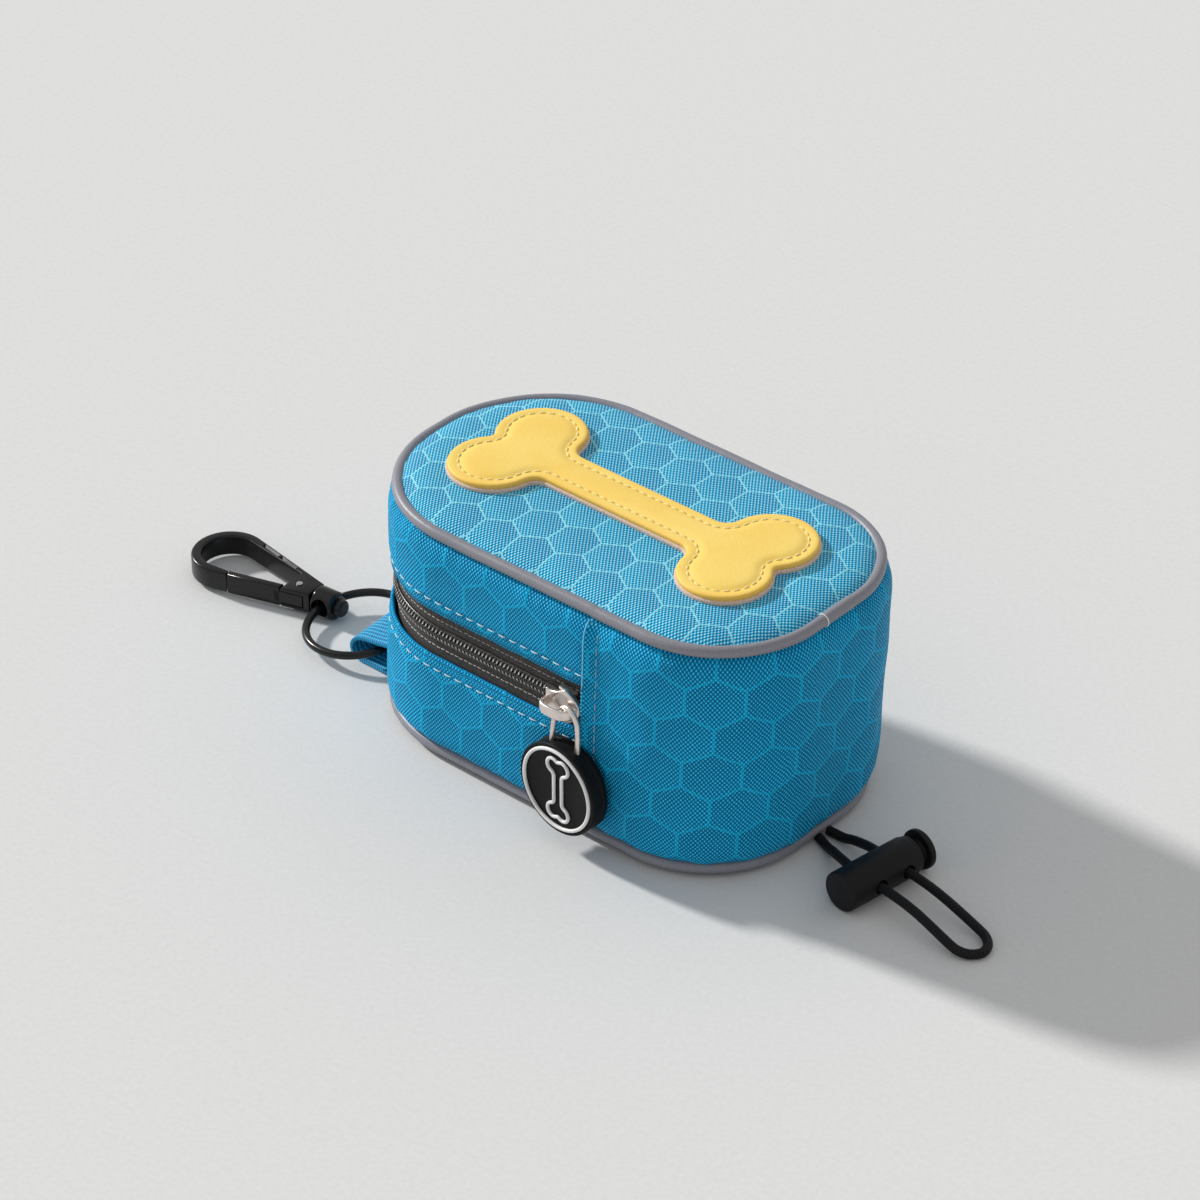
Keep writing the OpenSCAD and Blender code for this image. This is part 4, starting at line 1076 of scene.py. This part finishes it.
def bone_stitches():
    count = 900
    loop, length = even(bone_loop(-2.25), count)

    def at(s):
        k = (s / length * count) % count
        a, b, t = int(k), (int(k) + 1) % count, k % 1
        x, y = loop[a] * (1 - t) + loop[b] * t
        return (x, y, PATCH_Z + 1.64), (0, 0, 1)

    piece("patch_stitches", merge([stitch_line(at, length - 0.6, length / round(length / 2.1), 1.45, 0.21, 0.03)]),
          GOLD_THREAD, "pouch", "yellow_leather")


bone_stitches()


# ---- tab and ring

def tab():
    """Webbing sewn into the wall's foot, round the ring in an open fold and back under."""
    path = [(-51.0, 8.9), (-52.4, 8.6), (-54.0, 8.25), (-56.0, 7.85), (-58.0, 7.5), (-60.0, 7.15), (-61.6, 6.75),
            (-62.9, 6.15), (-63.9, 5.2), (-64.4, 4.0), (-64.3, 2.8), (-63.6, 1.9), (-62.4, 1.4), (-60.8, 1.2),
            (-58.0, 1.25), (-55.0, 1.35), (-51.5, 1.5)]
    path = spline([(x, 0, z) for x, z in path], 6)
    points, flat, run = [], [], 0.0
    across = np.linspace(-1, 1, 19)
    for k, (x, _, z) in enumerate(path):
        run += dist(path[k], path[k - 1]) if k else 0
        for c in across:
            y = TAB_Y + TAB_HALF * c + 0.1 * wobble(run / 4, c * 2, 3.0)
            curl = 0.16 * wobble(run / 6, c * 1.5, 5.0)
            points.append((x + curl * 0.3, y, z + 0.085 * (y - TAB_Y) + curl * 0.5))
            flat.append((run, c * TAB_HALF, 0))
    form = (points, grid_faces(len(path), len(across)), flat)
    made = piece("tab_webbing", form, WEBBING, "pouch", "blue_fabric")
    assign(made.modifiers.new("solid", "SOLIDIFY"), thickness=TAB_T * MM, offset=0)
    assign(made.modifiers.new("round", "BEVEL"), width=0.22 * MM, segments=2, limit_method="ANGLE")
    apply_modifiers(made)
    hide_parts("webbing_tab")


def ring():
    """The split ring, with the nick where its ends meet."""
    tilt, big, thick = radians(5), 11.7, 0.9
    c = np.array((-67.9, -9.9, 3.95))
    path, radius = [], []
    for a in turn(160):
        x, y, z = big * cos(a), big * sin(a) * cos(tilt), big * sin(a) * sin(tilt)
        path.append(c + (x * cos(tilt) - z * sin(tilt), y, x * sin(tilt) + z * cos(tilt)))
        radius.append(thick - 0.25 * exp(-((a - 5.95) / 0.035) ** 2))
    piece("ring_wire", tube(path, radius, 20, closed=True), ENAMEL, "ring", "black_enamel", "link_ring")


tab()
ring()


# ---- swivel and hook

def hook_place(x, y, z):
    c, s = cos(HOOK_YAW), sin(HOOK_YAW)
    return (EYE_O[0] + x * c - y * s, EYE_O[1] + x * s + y * c, EYE_O[2] + z)


def eye():
    profile = rounded([(0.01, -4.8), (1.5, -4.8), (1.95, -4.35), (1.95, -3.3), (1.7, -3.1), (1.7, -2.9), (2.6, -2.9),
                       (3.2, -2.5), (3.2, 2.2), (2.8, 2.6), (1.3, 2.6), (1.3, 1.9), (0.01, 1.9)], 0.45)
    made = lathe("swivel_collar", profile, hook_place, ENAMEL, "eye", "black_enamel", 56)
    across = (-4.5, -3.3, -2.2, -1.2, -0.4, 0.4, 1.2, 2.2, 3.3, 4.5)
    cut(made, tube([hook_place(-0.22, y, 0) for y in across], [1.32 + 0.3 * abs(y) for y in across], 32))
    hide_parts("swivel_eye")


def tangent(p, c, r, side):
    d = np.subtract(c, p)
    length = np.linalg.norm(d)
    a = atan2(d[1], d[0]) + side * asin(r / length)
    run = sqrt(length ** 2 - r ** 2)
    return (p[0] + run * cos(a), p[1] + run * sin(a)), degrees(a)


def hook():
    """The body's bow and block with a slot for the gate's tail, the gate, and the pin's heads."""
    bow, outer, inner = (27.6, -0.3), 8.3, 6.0
    near, far = (2.9, 2.8), (2.9, -2.6)
    pin, reach, gap = (7.0, 0.7), 16.4, 0.3
    cheek, tail, gate_w = 9.6, 4.5, 1.7
    (nt, na), (_, fa) = tangent(near, bow, outer, 1), tangent(far, bow, outer, -1)
    slope = tan(radians(na))
    edge = lambda x: near[1] + (x - near[0]) * slope
    line = lambda x: edge(x) - gate_w
    arm = (cheek, far[1] - 0.2)
    _, ia = tangent(arm, bow, inner, -1)

    def on_arc(radius, line):
        """Where a line meets the arc of the given radius round the gate's pin."""
        lo, hi = pin[0], pin[0] + radius
        for _ in range(40):
            mid = (lo + hi) / 2
            lo, hi = (mid, hi) if hypot(mid - pin[0], line(mid) - pin[1]) < radius else (lo, mid)
        return (lo, line(lo))

    body_in, body_out = on_arc(reach + gap, line), on_arc(reach + gap, edge)
    gate_in, gate_out = on_arc(reach, line), on_arc(reach, edge)
    body = [near, (cheek, edge(cheek)), (cheek, line(cheek) - gap), arm]
    body = [near, (cheek, edge(cheek)), (cheek, line(cheek) - gap), arm]
    body += arc(bow[0], bow[1], inner, ia - 90, 90, 44)
    body += [body_in, body_out, nt] + arc(bow[0], bow[1], outer, na + 90, fa - 90, 60) + [far]
    enamel = (hook_place, ENAMEL)
    made = slab("hook_cast", body, -2.5, 2.5, 0.55, *enamel, "hook", "black_enamel")
    swing = 1.7 + gap
    slot = [(tail - gap, line(tail) - gap), (tail - gap, edge(tail) + 1), (cheek + 1, edge(cheek) + 1),
            (cheek + 1, pin[1] - swing)]
    slot += arc(pin[0], pin[1], swing, -90, -200, 14)
    prism = [hook_place(x, y, side * 1.6) for side in (-1, 1) for x, y in slot]
    cut(made, (prism, caps(2, len(slot)) + grid_faces(2, len(slot), wrap=True)))
    # the long bright groove along the far limb: two runs with a short bridge
    limb = radians(fa)
    for face in (1, -1):
        for first, last in ((8.6, 14.2), (14.9, 20.4)):
            wedge = []
            for run in (first, last):
                for inward, z in ((0.55, 2.75), (0.55, 2.48), (1.25, 1.95), (1.45, 2.75)):
                    x = far[0] + run * cos(limb) - inward * sin(limb)
                    y = far[1] + run * sin(limb) + inward * cos(limb)
                    wedge.append(hook_place(x, y, face * z))
            cut(made, (wedge, [(0, 1, 2, 3), (7, 6, 5, 4)] + grid_faces(2, 4, wrap=True)))
    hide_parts("hook_body")
    leaf = [(cheek + gap, line(cheek + gap)), gate_in, gate_out, (cheek + gap, edge(cheek + gap))]
    gate = (*enamel, "gate", "black_enamel")
    door = slab("hook_gate_leaf", leaf, -2.48, 2.48, 0.4, *gate)
    root = cheek + 1.5
    slab("hook_gate_tail", [(tail, line(tail)), (root, line(root)), (root, edge(root)), (tail, edge(tail))],
         -1.42, 1.42, 0.12, *gate)
    slab("hook_gate_knuckle", arc(pin[0], pin[1], 1.68, 0, 348, 29), -1.4, -0.3, 0.1, *gate)
    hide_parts("hook_gate")
    head = [(0.01, 2.2), (0.5, 2.2), (0.5, 2.5), (0.42, 2.52), (0.01, 2.52)]
    for name, side in (("gate_pin_top", 1), ("gate_pin_low", -1)):
        lathe(name, [(r, side * h) for r, h in head], lambda h, a, b: hook_place(pin[0] + a, pin[1] + b, h),
              RUBBER, "hook", "black_enamel", 32)


eye()
hook()


# ---- cord and lock

def lock_place(x, y, z):
    c, s = cos(LOCK_YAW), sin(LOCK_YAW)
    return (LOCK_O[0] + x * c - y * s, LOCK_O[1] + x * s + y * c, z)


LOOP_LEG = [
    (-2, 3.75, 4.35), (2, 3.75, 4.35), (6, 3.75, 4.33), (10, 3.75, 4.22), (13.6, 3.75, 3.85), (16.4, 3.78, 3.35),
    (19, 3.82, 2.8), (21.6, 3.85, 2.2), (23.6, 3.85, 1.75), (25.4, 3.7, 1.42), (27.2, 2.9, 1.2), (28.4, 1.6, 1.1),
]
CORD_ROUTE = [
    (-19.6, 4.2, 1.06), (-17.4, 4.5, 1.06), (-15.2, 4.65, 1.3), (-12.8, 4.6, 2.2), (-10.2, 4.4, 3.0),
    (-7.6, 4.05, 3.8), (-5, 3.78, 4.25), *LOOP_LEG, (28.9, 0, 1.1), *((x, -y, z) for x, y, z in LOOP_LEG[::-1]),
    (-5, -3.62, 4.25), (-7.6, -2.95, 3.8), (-10.2, -2.0, 3.0), (-12.6, -1.0, 2.2), (-14.8, -0.1, 1.3),
    (-17, 0.6, 1.06), (-19.2, 1.15, 1.06),
]


def turned(name, profile, r, body, node, bores=()):
    """A turned piece of the lock, with the cord's bores cut through it."""
    made = lathe(name, rounded(profile, r), lambda h, a, b: lock_place(a, h, LOCK_Z + b),
                 PLASTIC, body, "black_plastic", 72)
    for y in bores:
        path = [lock_place(x, y, LOCK_Z) for x in (-6, -3.6, -3.2, 3.2, 3.6, 6)]
        cut(made, tube(path, [1.65, 1.5, 1.35, 1.35, 1.5, 1.65], 28))
    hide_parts(node)
    return made


lock_pieces = [
    turned("lock_body", [(0.01, -11.2), (4.3, -11.2), (4.3, 6.7), (4.0, 6.9), (4.0, 8.2), (2.78, 8.2), (2.78, -6.0),
                         (0.01, -6.0)], 0.55, "barrel", "lock_barrel", (-STRAND_Y, STRAND_Y)),
    turned("lock_button", [(0.01, 6.6), (2.65, 6.6), (2.65, 9.9), (4.3, 9.9), (4.3, 11.3), (0.01, 11.3)], 0.4,
           "plunger", "lock_plunger"),
]
route = spline([lock_place(*p) for p in CORD_ROUTE], 4)
cord = piece("loop_cord", tube(route, CORD_T / 2, 14), CORD, "pouch", "black_cord", "elastic_cord")
cord_length = sum(dist(a, b) for a, b in zip(route, route[1:])) * MM
[c * MM for c in route[0]]
[[c * MM for c in p] for p in route]


# ---- CAD nodes that stay

for node, material in {
    "upper_zip_tape": TAPE, "lower_zip_tape": TAPE, "zip_stops": NICKEL, "outlet_grommet": RUBBER,
    "swivel_post": ENAMEL, "gate_pin": STEEL, "gate_spring": STEEL, "lock_spring": STEEL,
    "bag_roll": FILM, "roll_core": PAPER,
}.items():
    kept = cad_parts[node]
    if not kept.material_slots:
        kept.data.materials.append(material)
    for taken in kept.material_slots:
        taken.material = material


# ---- stage and light

def stage():
    s = Shader("floor", Roughness=0.8, Specular_IOR_Level=0.2)
    grain = s.noise(s.place(1.0), 900.0, 3)
    s.set("Base Color", s.mix(s.span(grain, 0.3, 0.7), (0.70, 0.70, 0.695), (0.73, 0.73, 0.725)))
    half = 4 / MM
    mesh = bare_mesh("floor", [(-half, -half, 0), (half, -half, 0), (half, half, 0), (-half, half, 0)], [(0, 1, 2, 3)])
    mesh.materials.append(s.mat)
    link("floor", mesh)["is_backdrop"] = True

    world = bpy.data.worlds.new("studio")
    bpy.context.scene.world = world
    world.use_nodes = True
    background = world.node_tree.nodes["Background"]
    background.inputs["Color"].default_value = (1.0, 1.0, 1.0, 1)
    background.inputs["Strength"].default_value = 0.52

    sun = assign(bpy.data.lights.new("key", "SUN"), energy=3.25, angle=radians(5), color=(1.0, 0.99, 0.975))
    key = link("key", sun)
    az, el = radians(8), radians(29)
    towards = Vector((cos(az) * cos(el), sin(az) * cos(el), -sin(el)))
    key.rotation_euler = towards.to_track_quat("-Z", "Y").to_euler()


stage()
bpy.context.scene.view_settings.view_transform = "Standard"

{"cad": CAD_BOX, "visual": [list(map(float, corner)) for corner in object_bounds()]}
